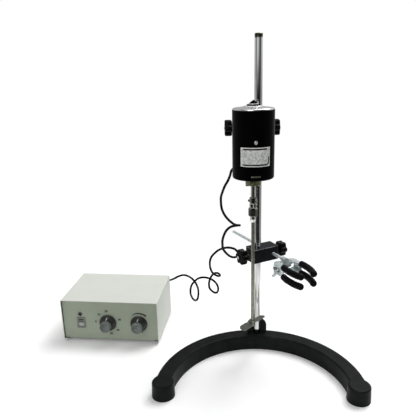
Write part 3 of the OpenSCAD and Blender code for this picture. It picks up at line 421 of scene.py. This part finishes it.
def makePlatePrint():  # a pale rim and a dark line that is open at the left and at the upper right
    s = plateSettings

    def make(shade):
        point = shade.place()
        x, y, z = shade.parts(point.moved(shift=-motorFrame.translation * mm))
        turn = math.radians(s["turn"] + 90)
        along = (shade.maths("ARCTAN2", x, 0 - y) - turn) * (s["radius"] * mm)
        up = z - s["middle"] * mm
        wide, high = [part * mm for part in s["half"]]
        rim = (along.size() - wide).most(up.size() - high).step(-s["rim"] * mm, -s["core"] * s["rim"] * mm)
        acrossLine = along.size() - (wide - (s["inset"][0] + s["corner"]) * mm)
        upLine = up.size() - (high - (s["inset"][1] + s["corner"]) * mm)
        corner = (acrossLine.most(0.0) ** 2 + upLine.most(0.0) ** 2) ** 0.5
        near = corner + acrossLine.most(upLine).least(0.0)
        line = 1 - (near - s["corner"] * mm).size().step(s["core"] * s["line"] * mm, s["line"] * mm)
        line = line * along.step((s["from"] - s["fade"]) * mm, s["from"] * mm)
        right = along.step(s["openFrom"] * mm, (s["openFrom"] + s["fade"]) * mm)
        line = line * (1 - right * up.step(0, s["fade"] * mm))
        patches = point.noise(s["patchScale"], 4)
        colour = patches.step(*s["patchSpan"]).mix(s["colour"], s["patchColour"])
        colour = line.mix(rim.mix(colour, s["rimColour"]), s["lineColour"])
        return {"Base Color": colour, "Roughness": patches * s["roughSpread"] + s["rough"],
                "Normal": shade.bump(patches + rim, s["bump"])}
    return newMaterial("platePrint", {"Metallic": 0.0}, make)


platePrint = makePlatePrint()
# the chassis is painted dark at its bottom as shade under the box
panelPaint = makeBoxPaint("panelPaint", panelLook, "underside")
rubber = coatedMaterial("blackRubber", rubberLook)
fittingPlastic = coatedMaterial("fittingPlastic", fittingLook)

# Chuck body and column: painted shade in the slots round the chuck's body, a stain at the column's top and
# a painted shadow at its foot.
# Heights in metres
slotShadeSettings = {"ribs": 6, "ribEdge": (0.5, 0.8), "low": (0.3062, 0.3066), "high": (0.3124, 0.3128),
                  "colour": (0.008, 0.008, 0.006)}


def chuckSlotShade(shade):  # 1 in the slots round the chuck's body, which are painted dark as shade
    s = slotShadeSettings
    x, y, z = shade.parts(shade.place().moved(shift=-motorFrame.translation * mm))
    ribs = shade.maths("COSINE", shade.maths("ARCTAN2", x, 0 - y) * s["ribs"])
    return (1 - ribs.step(*s["ribEdge"])) * z.step(*s["low"]) * (1 - z.step(*s["high"]))


columnStainAndShade = {"top": (0.583, 0.5865), "topColour": (0.05, 0.05, 0.03), "topUneven": 0.006,
               "foot": (0.0385, 0.0405), "footShadeColour": (0.006, 0.006, 0.006)}
# the column's foot is painted dark as shade where it enters the base
columnSteel = metalMaterial("columnSteel", dict(
    columnLook, patchRough=0.02, stain=columnStainAndShade["top"], stainColour=columnStainAndShade["topColour"],
    stainUneven=columnStainAndShade["topUneven"], paintedShadeMaskColour=columnStainAndShade["footShadeColour"],
    paintedShadeMask=lambda shade, point: 1 - shade.parts(point)[2].step(*columnStainAndShade["foot"])))
brightSteel = metalMaterial("brightSteel", brightLook)

dress(cast, "base_casting")
dress(columnSteel, "column")
dress(motorPaint, "motor_housing", "top_disc", "top_cone")
dress(headBlockPaint, "head_block")
dress(clampBlockPaint, "clamp_block")
dress(knobPlastic, "stub_knob", "head_knob", "rod_knob", "clamp_knob")
dress(coverPaint, "box_cover")
dress(platePrint, "nameplate")
dress(panelPaint, "box_chassis")
dress(rubber, "box_feet", "left_sleeves", "right_sleeves")
dress(fittingPlastic, "fuse_holder", "mains_inlet", "box_gland", "motor_gland")
dress(coatedMaterial("rockerFramePlastic", rockerFrameLook), "rocker_frame")
# the rocker's upper half is painted darker as shade
dress(coatedMaterial("rockerPlastic", dict(
    rockerLook, mask=lambda shade: shade.parts(shade.place())[2].step(*boxSettings["paintedRockerShade"]),
    maskColour=boxSettings["paintedRockerShadeColour"])), "rocker_button")
dress(coatedMaterial("lampLens", lampLook), "lamp_lens")
dress(coatedMaterial("controlPlastic", controlLook), "timer_unit", "speed_pot")
dress(coatedMaterial("boardResin", boardLook), "circuit_board")
dress(brightSteel, "stub_stud", "head_stud", "rod_stud", "clamp_stud", "mounting_stub",
      "motor_bearings", "top_washer", "cover_screws", "jaw_pins")
dress(metalMaterial("bellAluminium", bellLook), "top_bell")
dress(coatedMaterial("flangeBrass", flangeLook), "output_flange")
dress(metalMaterial("coreSteel", coreLook), "stator", "rotor")
dress(metalMaterial("brushBrass", brassLook), "brush_gear")
chuckSteel = metalMaterial("chuckSteel", chuckLook)
dress(chuckSteel, "chuck_collar", "chuck_nut")
# the slots in the chuck's body are painted dark as shade
dress(coatedMaterial("chuckBody", dict(bodyLook, mask=chuckSlotShade, maskColour=slotShadeSettings["colour"])),
      "chuck_body")
dress(metalMaterial("jawSteel", jawLook), "chuck_jaws")
dress(coatedMaterial("rodSteel", rodLook), "stirring_rod")
dress(metalMaterial("paddleSteel", paddleLook), "impeller")
dress(coatedMaterial("satinZinc", satinLook), "claw_bracket", "left_jaw", "right_jaw", "wing_screw")
dress(coatedMaterial("satinRod", satinRodLook), "claw_rod")
dress(coatedMaterial("dullNickel", nickelLook), "front_screw")
dress(coatedMaterial("bezelPlastic", bezelLook), "lamp_bezel")
blackSteel = metalMaterial("blackSteel", screwLook)
dress(blackSteel, "column_screw", "flange_screws")
capBlack = coatedMaterial("capBlack", capLook)
satinSteel = coatedMaterial("satinSteel", satinSteelLook)
stripMetal = coatedMaterial("stripMetal", stripLook)
skirtPlastic = coatedMaterial("skirtPlastic", dialLook)
gripPlastic = coatedMaterial("gripPlastic", gripLook)
whitePaint = coatedMaterial("whitePaint", whiteLook)
inkPaint = coatedMaterial("inkPaint", inkLook)
print("stage: materials")


# Cord: the route of the construction, in millimetres, on one smooth line
cordSettings = {
    "diameter": 4.6,
    "fixedEnd": (-204, 178, 66),
    "movingEnd": (-42.9, -23.5, 367),
    "smooth": 4, "round": 4,
}
cordRoute = [
    (-42.9, -23.5, 367), (-46, -20, 366), (-49, -16, 361), (-51, -12, 352), (-55, -7, 341), (-60, -2, 331),
    (-64, 4, 319), (-67, 10, 307), (-67, 14, 295), (-66, 15, 285), (-63, 14, 276), (-58, 11, 268),
    (-51, 7, 261), (-43, 2, 256), (-36, -4, 256), (-34, -13, 259), (-40, -20, 261), (-50, -23, 260),
    (-58, -23, 254), (-63, -20, 244), (-66, -14, 231), (-66, -7, 220), (-65, 0, 209), (-61, 6, 200),
    (-54, 13, 190), (-46, 20, 183), (-38, 27, 181), (-34, 35, 185), (-40, 42, 191), (-51, 46, 193),
    (-62, 49, 191), (-72, 52, 186), (-80, 56, 178), (-87, 60, 168), (-90, 63, 157), (-90, 67, 144),
    (-87, 73, 131), (-81, 81, 120), (-72, 90, 112), (-69, 99, 111), (-75, 107, 112), (-84, 109, 108),
    (-90, 108, 99), (-93, 105, 89), (-92, 102, 79), (-85, 102, 70), (-77, 107, 65), (-73, 115, 69),
    (-75, 123, 76), (-82, 129, 83), (-93, 133, 88), (-105, 134, 90), (-116, 134, 88), (-125, 132, 82),
    (-132, 131, 73), (-135, 130, 61), (-134, 132, 47), (-128, 136, 34), (-121, 143, 31), (-118, 150, 41),
    (-119, 156, 54), (-126, 161, 68), (-137, 166, 77), (-150, 169, 81), (-163, 172, 77), (-174, 175, 70),
    (-185, 177, 65), (-196, 178, 64), (-206, 176, 65), (-212, 169, 66), (-211.9, 162.7, 66),
]


def smoothLine(points, steps):  # a Catmull-Rom line through the points
    line = []
    for i in range(len(points) - 1):
        before = points[max(i - 1, 0)]
        start, end = points[i], points[i + 1]
        after = points[min(i + 2, len(points) - 1)]
        for k in range(steps):
            t = k / steps
            line.append(0.5 * (2 * start + (end - before) * t
                               + (2 * before - 5 * start + 4 * end - after) * t * t
                               + (3 * start - before - 3 * end + after) * t ** 3))
    return line + [points[-1]]


def lineLength(points):
    return sum((b - a).length for a, b in zip(points, points[1:]))


def makeCord():
    line = smoothLine([Vector(p) * mm for p in cordRoute], cordSettings["smooth"])
    data = bpy.data.curves.new("motorCord", "CURVE")
    data.dimensions = "3D"
    data.bevel_depth = cordSettings["diameter"] * mm / 2
    data.bevel_resolution = cordSettings["round"]
    data.use_fill_caps = True
    spline = data.splines.new("POLY")
    spline.points.add(len(line) - 1)
    for point, place in zip(spline.points, line):
        point.co = (*place, 1)
    curve = bpy.data.objects.new("motorCordLine", data)
    bpy.context.scene.collection.objects.link(curve)
    mesh = bpy.data.meshes.new_from_object(curve.evaluated_get(bpy.context.evaluated_depsgraph_get()))
    bpy.data.objects.remove(curve)
    cord = bpy.data.objects.new("motorCord", mesh)
    bpy.context.scene.collection.objects.link(cord)
    for face in mesh.polygons:
        face.use_smooth = True
    mesh.materials.clear()
    mesh.materials.append(rubber)
    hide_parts("motor_cord")
    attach(cord, "stand")
    cord.parent = None
    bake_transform(cord)
    lineLength(line)


makeCord()
print("stage: cord")


# Points closer than merge millimetres become one, and edges over crease degrees are drawn sharp
meshSettings = {"merge": 0.0005, "crease": 35}


def finishPiece(bm, name, material, body, replaced=(), place=Matrix()):
    bmesh.ops.remove_doubles(bm, verts=bm.verts, dist=meshSettings["merge"])
    bmesh.ops.recalc_face_normals(bm, faces=bm.faces)
    bmesh.ops.transform(bm, matrix=Matrix.Scale(mm, 4) @ place, verts=bm.verts)
    mesh = bpy.data.meshes.new(name)
    bm.to_mesh(mesh)
    bm.free()
    for face in mesh.polygons:
        face.use_smooth = True
    mesh.set_sharp_from_angle(angle=math.radians(meshSettings["crease"]))
    mesh.materials.append(material)
    piece = bpy.data.objects.new(name, mesh)
    bpy.context.scene.collection.objects.link(piece)
    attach(piece, body)
    if replaced:
        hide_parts(*replaced)


def vertsOf(made):  # the vertices in what an operator made
    return [g for g in made if isinstance(g, bmesh.types.BMVert)]


def roundEdges(bm, width, segments, above=60):  # rounds every edge sharper than the angle in degrees
    sharp = [e for e in bm.edges if e.is_manifold and e.calc_face_angle(0) > math.radians(above)]
    bmesh.ops.bevel(bm, geom=sharp, offset=width, segments=segments, profile=0.5, affect="EDGES",
                    material=-1)


def dishTop(bm, inset, wall, depth):  # sinks the largest of the highest faces
    top = max(bm.faces, key=lambda f: f.calc_center_median().z + 0.001 * f.calc_area())
    bmesh.ops.inset_individual(bm, faces=[top], thickness=inset, depth=0)
    bmesh.ops.inset_individual(bm, faces=[top], thickness=wall, depth=-depth)


def turnedShape(bm, profile, steps):  # spins a line of (radius, height) points round Z
    line = [bm.verts.new((radius, 0, height)) for radius, height in profile]
    edges = [bm.edges.new(pair) for pair in zip(line, line[1:])]
    bmesh.ops.spin(bm, geom=line + edges, cent=(0, 0, 0), axis=(0, 0, 1), angle=2 * math.pi, steps=steps,
                   use_merge=True)


# Star knobs
starSettings = {"outer": 15.0, "thick": 14.5, "neck": 2.0, "neckRadius": 7.0, "lobes": 6, "dip": 3.0,
                "lobePower": 0.7, "rimRound": 2.2, "faceInset": 4.2, "dishWall": 0.6, "dish": 1.4}
starPlaces = [("stubStar", headFrame, -44.5, "stub_clamp"), ("headStar", headFrame, 23, "head_clamp"),
              ("rodStar", clampFrame, 46, "rod_clamp"), ("clampStar", clampFrame, -25, "column_clamp")]


def makeStarKnob(name, place, body):
    s = starSettings
    bm = bmesh.new()
    bmesh.ops.create_circle(bm, cap_ends=True, segments=96, radius=1)
    for v in bm.verts:
        wave = 0.5 + 0.5 * math.cos(s["lobes"] * math.atan2(v.co.y, v.co.x))
        v.co *= s["outer"] - s["dip"] * (1 - wave ** s["lobePower"])
    bmesh.ops.translate(bm, vec=(0, 0, s["neck"]), verts=bm.verts)
    grown = bmesh.ops.extrude_face_region(bm, geom=bm.faces[:])["geom"]
    bmesh.ops.translate(bm, vec=(0, 0, s["thick"] - s["neck"]), verts=vertsOf(grown))
    roundEdges(bm, s["rimRound"], segments=4)
    dishTop(bm, s["faceInset"], s["dishWall"], s["dish"])
    radius, height = s["neckRadius"], s["neck"] + 1
    turnedShape(bm, [(0, 0), (radius, 0), (radius, height), (0, height)], steps=48)
    finishPiece(bm, name, knobPlastic, body, [name.replace("Star", "_knob")], place)


for starName, starFrame, starX, starBody in starPlaces:
    makeStarKnob(starName, starFrame @ facing((starX, 0, 0), (math.copysign(1, starX), 0, 0)), starBody)
print("stage: star knobs")


# Cap on the motor: a polished ring, a black disc, a washer and a black cone, in that order upwards
capSettings = {"ring": 15.6, "disc": 11.2, "washer": 8.2, "cone": 7.0, "coneFoot": 3.5, "coneTop": 9.0,
               "foot": 477.5, "bore": 2.1}


def makeCap():
    s = capSettings
    place = motorFrame @ Matrix.Translation((0, 0, s["foot"]))
    disc, washer, cone, bore = s["disc"], s["washer"], s["cone"], s["bore"]
    low, high = s["coneFoot"], s["coneTop"]
    for name, material, replaced, line in (
            ("capDisc", capBlack, "top_disc", [
                (bore, 0.1), (disc - 0.3, 0.1), (disc, 0.4), (disc, 1.7), (disc - 0.4, 2.0), (bore, 2.0),
                (bore, 0.1)]),
            ("capWasher", satinSteel, "top_washer", [
                (bore, 2.0), (washer, 2.0), (washer + 0.3, 2.2), (washer + 0.2, low - 0.3),
                (washer - 0.4, low), (bore, low), (bore, 2.0)]),
            ("capCone", capBlack, "top_cone", [
                (0, low), (cone, low), (cone + 0.2, low + 0.3), (cone - 0.3, low + 0.9),
                (1.2, high - 0.4), (0.6, high - 0.1), (0, high)])):
        bm = bmesh.new()
        turnedShape(bm, line, steps=96)
        finishPiece(bm, name, material, "head", [replaced], place)
    bm = bmesh.new()
    inner, ring = disc - 3, s["ring"]
    turnedShape(bm, [(inner, -1.6), (ring, -1.9), (ring + 0.2, -0.6), (ring - 0.6, 0.1), (inner, 0.1),
                     (inner, -1.6)], steps=96)
    finishPiece(bm, "capRing", satinSteel, "head", (), place)


# Blank strip below the nameplate
stripSettings = {"turn": -88, "half": (7.9, 1.2), "height": 366.5, "radius": 35.05, "thick": 0.25}


def makeStrip():
    s = stripSettings
    bm = bmesh.new()
    wide = math.degrees(s["half"][0] / s["radius"])
    inner, outer = s["radius"], s["radius"] + s["thick"]
    up = s["half"][1]
    corners = [(inner, -up), (outer, -up), (outer, up), (inner, up)]
    start = Matrix.Rotation(math.radians(s["turn"] - wide), 3, "Z")
    face = bm.faces.new([bm.verts.new(start @ Vector((radius, 0, height))) for radius, height in corners])
    bmesh.ops.spin(bm, geom=[face], cent=(0, 0, 0), axis=(0, 0, 1), angle=math.radians(2 * wide), steps=16)
    finishPiece(bm, "blankStrip", stripMetal, "head", (),
                motorFrame @ Matrix.Translation((0, 0, s["height"])))


makeCap()
makeStrip()
print("stage: cap and strip")


# Chuck collar with its clamping screw, and the dark screw in the flange
collarSettings = {"foot": 313.5, "bore": 5.03, "neck": 5.6, "radius": 7.2, "shoulder": 6.2, "height": 10.0,
                  "screwRadius": 1.8, "screwReach": 8.6, "screwHeight": 4.6}
flangeScrewSettings = {"turn": -108, "height": 352.5, "from": 11.5, "reach": 13.3, "radius": 2.1}


def sideScrew(name, body, turn, height, start, reach, radius):  # points out from the motor's axis
    socket, floor = radius * 0.55, reach - 0.8
    bm = bmesh.new()
    turnedShape(bm, [(0, start), (radius, start), (radius, reach - 0.3), (radius - 0.3, reach),
                     (socket, reach), (socket, floor), (0, floor)], steps=32)
    place = (motorFrame @ Matrix.Translation((0, 0, height)) @ Matrix.Rotation(math.radians(turn), 4, "Z")
             @ Matrix.Rotation(math.pi / 2, 4, "Y"))
    finishPiece(bm, name, blackSteel, body, (), place)


def makeCollar():
    s = collarSettings
    bm = bmesh.new()
    bore, neck, wide, shoulder, high = s["bore"], s["neck"], s["radius"], s["shoulder"], s["height"]
    turnedShape(bm, [(bore, 0), (neck, 0), (neck, 2), (wide - 0.4, 2), (wide, 2.5), (wide, 5.6),
                     (wide - 0.5, 6.3), (shoulder, 6.8), (shoulder, high - 0.5), (shoulder - 0.4, high),
                     (bore, high), (bore, 0)], steps=72)
    finishPiece(bm, "collarRing", chuckSteel, "spindle", ["chuck_collar"],
                motorFrame @ Matrix.Translation((0, 0, s["foot"])))
    sideScrew("collarScrew", "spindle", 180, s["foot"] + s["screwHeight"], s["bore"], s["screwReach"],
              s["screwRadius"])
    s = flangeScrewSettings
    sideScrew("flangeSetScrew", "head", s["turn"], s["height"], s["from"], s["reach"], s["radius"])


makeCollar()
print("stage: collar")


# Panel knobs: a dark skirt, a pale grip with fine ribs, and a white pointer
dialSettings = {
    "skirt": 17.5, "gap": 1.0, "grip": 11.0, "gripFoot": 12.2, "length": 22.0,
    "ribs": 48, "ribDepth": 0.012, "gripRound": 0.7, "faceInset": 1.6, "dishWall": 0.3, "dish": 0.4,
    "bore": 3.1, "hollow": 12.0,
    "pointer": (1.8, 1.0, 8.4), "pointerOut": 1.3, "pointerUp": 7.4, "pointerTilt": 12,
    "pointerRound": 0.3,
}
dialPlaces = [("timerDial", (95.5, 43.5), "timer_dial", "timer_knob"),
              ("speedDial", (160, 43.5), "speed_dial", "speed_knob")]


def makeDial(name, spot, body, node):
    s = dialSettings
    place = panelFrame @ Matrix.Translation((*spot, 0))
    bm = bmesh.new()
    skirt, grip, gap, bore, hollow = s["skirt"], s["grip"], s["gap"], s["bore"], s["hollow"]
    turnedShape(bm, [(hollow, gap), (skirt - 0.3, gap), (skirt, gap + 0.4), (skirt, gap + 1.4),
                     (skirt - 0.8, gap + 2.2), (grip + 2.0, gap + 5), (grip + 0.9, gap + 6.6),
                     (grip + 0.5, gap + 12), (bore, gap + 12), (bore, gap + 4), (hollow, gap + 4),
                     (hollow, gap)], steps=96)
    finishPiece(bm, name + "Skirt", skirtPlastic, body, [node], place)
    bm = bmesh.new()
    bmesh.ops.create_circle(bm, cap_ends=True, segments=s["ribs"] * 4, radius=grip)
    for v in bm.verts:
        wave = math.cos(s["ribs"] * math.atan2(v.co.y, v.co.x))
        v.co *= 1 + s["ribDepth"] * wave
    foot = gap + s["gripFoot"]
    bmesh.ops.translate(bm, vec=(0, 0, foot), verts=bm.verts)
    grown = bmesh.ops.extrude_face_region(bm, geom=bm.faces[:])["geom"]
    bmesh.ops.translate(bm, vec=(0, 0, s["length"] - foot), verts=vertsOf(grown))
    roundEdges(bm, s["gripRound"], segments=3)
    dishTop(bm, s["faceInset"], s["dishWall"], s["dish"])
    finishPiece(bm, name + "Grip", gripPlastic, body, (), place)
    bm = bmesh.new()
    middle = Matrix.Translation((0, grip + s["pointerOut"], gap + s["pointerUp"]))
    tilt = Matrix.Rotation(math.radians(s["pointerTilt"]), 4, "X")
    bmesh.ops.create_cube(bm, size=1, matrix=middle @ tilt @ Matrix.Diagonal((*s["pointer"], 1)))
    roundEdges(bm, s["pointerRound"], segments=2, above=30)
    finishPiece(bm, name + "Pointer", whitePaint, body, (), place)


for dialPlace in dialPlaces:
    makeDial(*dialPlace)
print("stage: panel knobs")


# Panel print: numbers round the timer, and the growing arc and the dot round the speed knob
printSettings = {
    "depth": 0.06, "lift": 0.02, "timer": dialPlaces[0][1], "speed": dialPlaces[1][1], "timerRing": 25.5,
    "timerMarks": [("0", 177), ("10", 136), ("20", 95), ("30", 17), ("40", -40), ("50", -78)],
    "numberHeight": 6.0, "numberWeight": 0.32,
    "arcRing": 23.0, "arcFrom": 128, "arcTurn": 80, "arcSteps": 24, "arcThin": 0.5, "arcGrows": 1.5,
    "arcPower": 0.8, "dot": (5.2, -18.9), "dotRadius": 1.5, "dotMiddle": 0.05,
}


def flatPiece(bm, name, place):
    finishPiece(bm, name, inkPaint, "stand", (), place)


def makeNumber(text, spot):
    data = bpy.data.curves.new("number" + text, "FONT")
    data.body = text
    data.size = printSettings["numberHeight"]
    data.align_x = "CENTER"
    data.align_y = "CENTER"
    data.extrude = printSettings["depth"]
    data.offset = printSettings["numberWeight"]
    drawn = bpy.data.objects.new("number" + text, data)
    bpy.context.scene.collection.objects.link(drawn)
    bpy.context.view_layer.update()
    mesh = bpy.data.meshes.new_from_object(drawn.evaluated_get(bpy.context.evaluated_depsgraph_get()))
    bpy.data.objects.remove(drawn)
    bm = bmesh.new()
    bm.from_mesh(mesh)
    bpy.data.meshes.remove(mesh)
    flatPiece(bm, "panelNumber" + text, panelFrame @ Matrix.Translation((*spot, printSettings["lift"])))


def makePanelPrint():
    s = printSettings
    x, y = s["timer"]
    for text, turn in s["timerMarks"]:
        angle = math.radians(turn)
        makeNumber(text, (x + s["timerRing"] * math.cos(angle), y + s["timerRing"] * math.sin(angle)))
    x, y = s["speed"]
    bm = bmesh.new()
    steps = s["arcSteps"]
    rows = []
    for k in range(steps + 1):
        angle = math.radians(s["arcFrom"] - s["arcTurn"] * k / steps)
        half = s["arcThin"] + s["arcGrows"] * (k / steps) ** s["arcPower"]
        rows.append([bm.verts.new((x + r * math.cos(angle), y + r * math.sin(angle), s["lift"]))
                     for r in (s["arcRing"] - half, s["arcRing"] + half)])
    for a, b in zip(rows, rows[1:]):
        bm.faces.new((a[0], b[0], b[1], a[1]))
    grown = bmesh.ops.extrude_face_region(bm, geom=bm.faces[:])["geom"]
    bmesh.ops.translate(bm, vec=(0, 0, s["depth"]), verts=vertsOf(grown))
    flatPiece(bm, "speedArc", panelFrame)
    bm = bmesh.new()
    spot = Matrix.Translation((x + s["dot"][0], y + s["dot"][1], s["dotMiddle"]))
    bmesh.ops.create_cone(bm, cap_ends=True, segments=24, radius1=s["dotRadius"], radius2=s["dotRadius"],
                          depth=s["depth"], matrix=spot)
    flatPiece(bm, "speedDot", panelFrame)


makePanelPrint()
print("stage: panel print")


# Floor, lamps and world. Glossy rays see a studio of bright and dark flats round the object, and those
# below the horizon meet lowFlats. Other rays see a soft light, and the camera sees white
stageSettings = {
    "floorSize": 3.0,
    "floorHeight": -0.0002,
    "floorMiddle": (-0.08, 0.0),
    "floorFade": (0.36, 0.62),
    "floorColour": (1.0, 1.0, 1.0),
    "floorGlow": 0.055,
    "lampAim": (-0.1, 0.0, 0.2),
    "keyPlace": (1.6, 1.5, 3.9), "keySize": 2.6, "keyPower": 164,
    "fillPlace": (-1.6, -4.0, 2.3), "fillSize": 2.4, "fillPower": 60,
    "topPlace": (-0.5, 0.2, 4.6), "topSize": 3.0, "topPower": 22,
    "worldStrength": 0.34, "worldLow": 0.35, "worldTurn": (0.05, 0.6),
    "flats": [(-180, 0.45), (-125, 0.6), (-105, 0.6), (-64, 0.14), (-42, 0.85), (-28, 0.85), (-2, 0.43),
              (24, 0.13), (60, 0.1), (78, 0.5), (100, 0.99), (140, 0.7), (180, 0.45)],
    "lowFlats": [(-180, 0.45), (-120, 0.5), (-90, 0.55), (-63, 0.34), (-44, 0.04), (-30, 0.014),
                 (30, 0.015), (46, 0.1), (63, 0.28), (103, 0.42), (130, 0.5), (180, 0.45)],
    "flatsTurn": (-0.06, 0.05),
}


def makeFloor():
    s = stageSettings
    bm = bmesh.new()
    bmesh.ops.create_grid(bm, x_segments=1, y_segments=1, size=s["floorSize"])
    mesh = bpy.data.meshes.new("floor")
    bm.to_mesh(mesh)
    bm.free()
    floor = bpy.data.objects.new("floor", mesh)
    bpy.context.scene.collection.objects.link(floor)
    floor.location.z = s["floorHeight"]
    material = bpy.data.materials.new("paleFloor")
    material.use_nodes = True
    tree = material.node_tree
    shade = Shade(tree)
    surface = tree.nodes["Principled BSDF"]
    surface.inputs["Base Color"].default_value = (*s["floorColour"], 1)
    surface.inputs["Roughness"].default_value = 1.0
    surface.inputs["Specular IOR Level"].default_value = 0.0
    surface.inputs["Emission Color"].default_value = (1, 1, 1, 1)
    surface.inputs["Emission Strength"].default_value = s["floorGlow"]
    x, y = shade.parts(shade.place())[:2]
    away = ((x - s["floorMiddle"][0]) ** 2 + (y - s["floorMiddle"][1]) ** 2) ** 0.5
    clear = shade.add("ShaderNodeBsdfTransparent")
    faded = shade.add("ShaderNodeMixShader", {}, {0: away.step(*s["floorFade"]),
                                                  1: Shade(tree, surface.outputs[0]), 2: clear})
    tree.links.new(faded.socket, tree.nodes["Material Output"].inputs["Surface"])
    mesh.materials.append(material)


def makeLamp(name, place, size, power):
    data = bpy.data.lights.new(name, "AREA")
    data.size = size
    data.energy = power
    lamp = bpy.data.objects.new(name, data)
    lamp.location = place
    aim = Vector(stageSettings["lampAim"])
    lamp.rotation_euler = (aim - Vector(place)).to_track_quat("-Z", "Y").to_euler()
    bpy.context.scene.collection.objects.link(lamp)


def makeWorld():
    s = stageSettings
    world = bpy.data.worlds.new("studio")
    bpy.context.scene.world = world
    world.use_nodes = True
    tree = world.node_tree
    shade = Shade(tree)
    path = tree.nodes.new("ShaderNodeLightPath")
    camera, glossy, passing = (Shade(tree, path.outputs[kind]) for kind in
                               ("Is Camera Ray", "Is Glossy Ray", "Is Transmission Ray"))
    x, y, z = shade.parts(shade.place())
    # 0.5 is towards the camera, and it grows to the right
    around = shade.maths("ARCTAN2", x, 0 - y) / (2 * math.pi) + 0.5
    low, high = [shade.add("ShaderNodeValToRGB", {"stops": [(turn / 360 + 0.5, (level, level, level))
                                                            for turn, level in s[name]]}, {"Fac": around})
                 for name in ("lowFlats", "flats")]
    flats = low + z.step(*s["flatsTurn"]) * (high - low)
    soft = (z.step(*s["worldTurn"]) * (1 - s["worldLow"]) + s["worldLow"]) * s["worldStrength"]
    level = glossy * (flats - soft) + soft
    level = level.most(camera.most(passing))
    back = tree.nodes["Background"]
    tree.links.new(level.socket, back.inputs["Strength"])
    back.inputs["Color"].default_value = (1, 1, 1, 1)


bpy.context.scene.view_settings.view_transform = "Standard"
makeFloor()
for lampName in ("key", "fill", "top"):
    makeLamp(lampName + "Lamp", stageSettings[lampName + "Place"], stageSettings[lampName + "Size"],
             stageSettings[lampName + "Power"])
makeWorld()
print("stage: floor and lights")
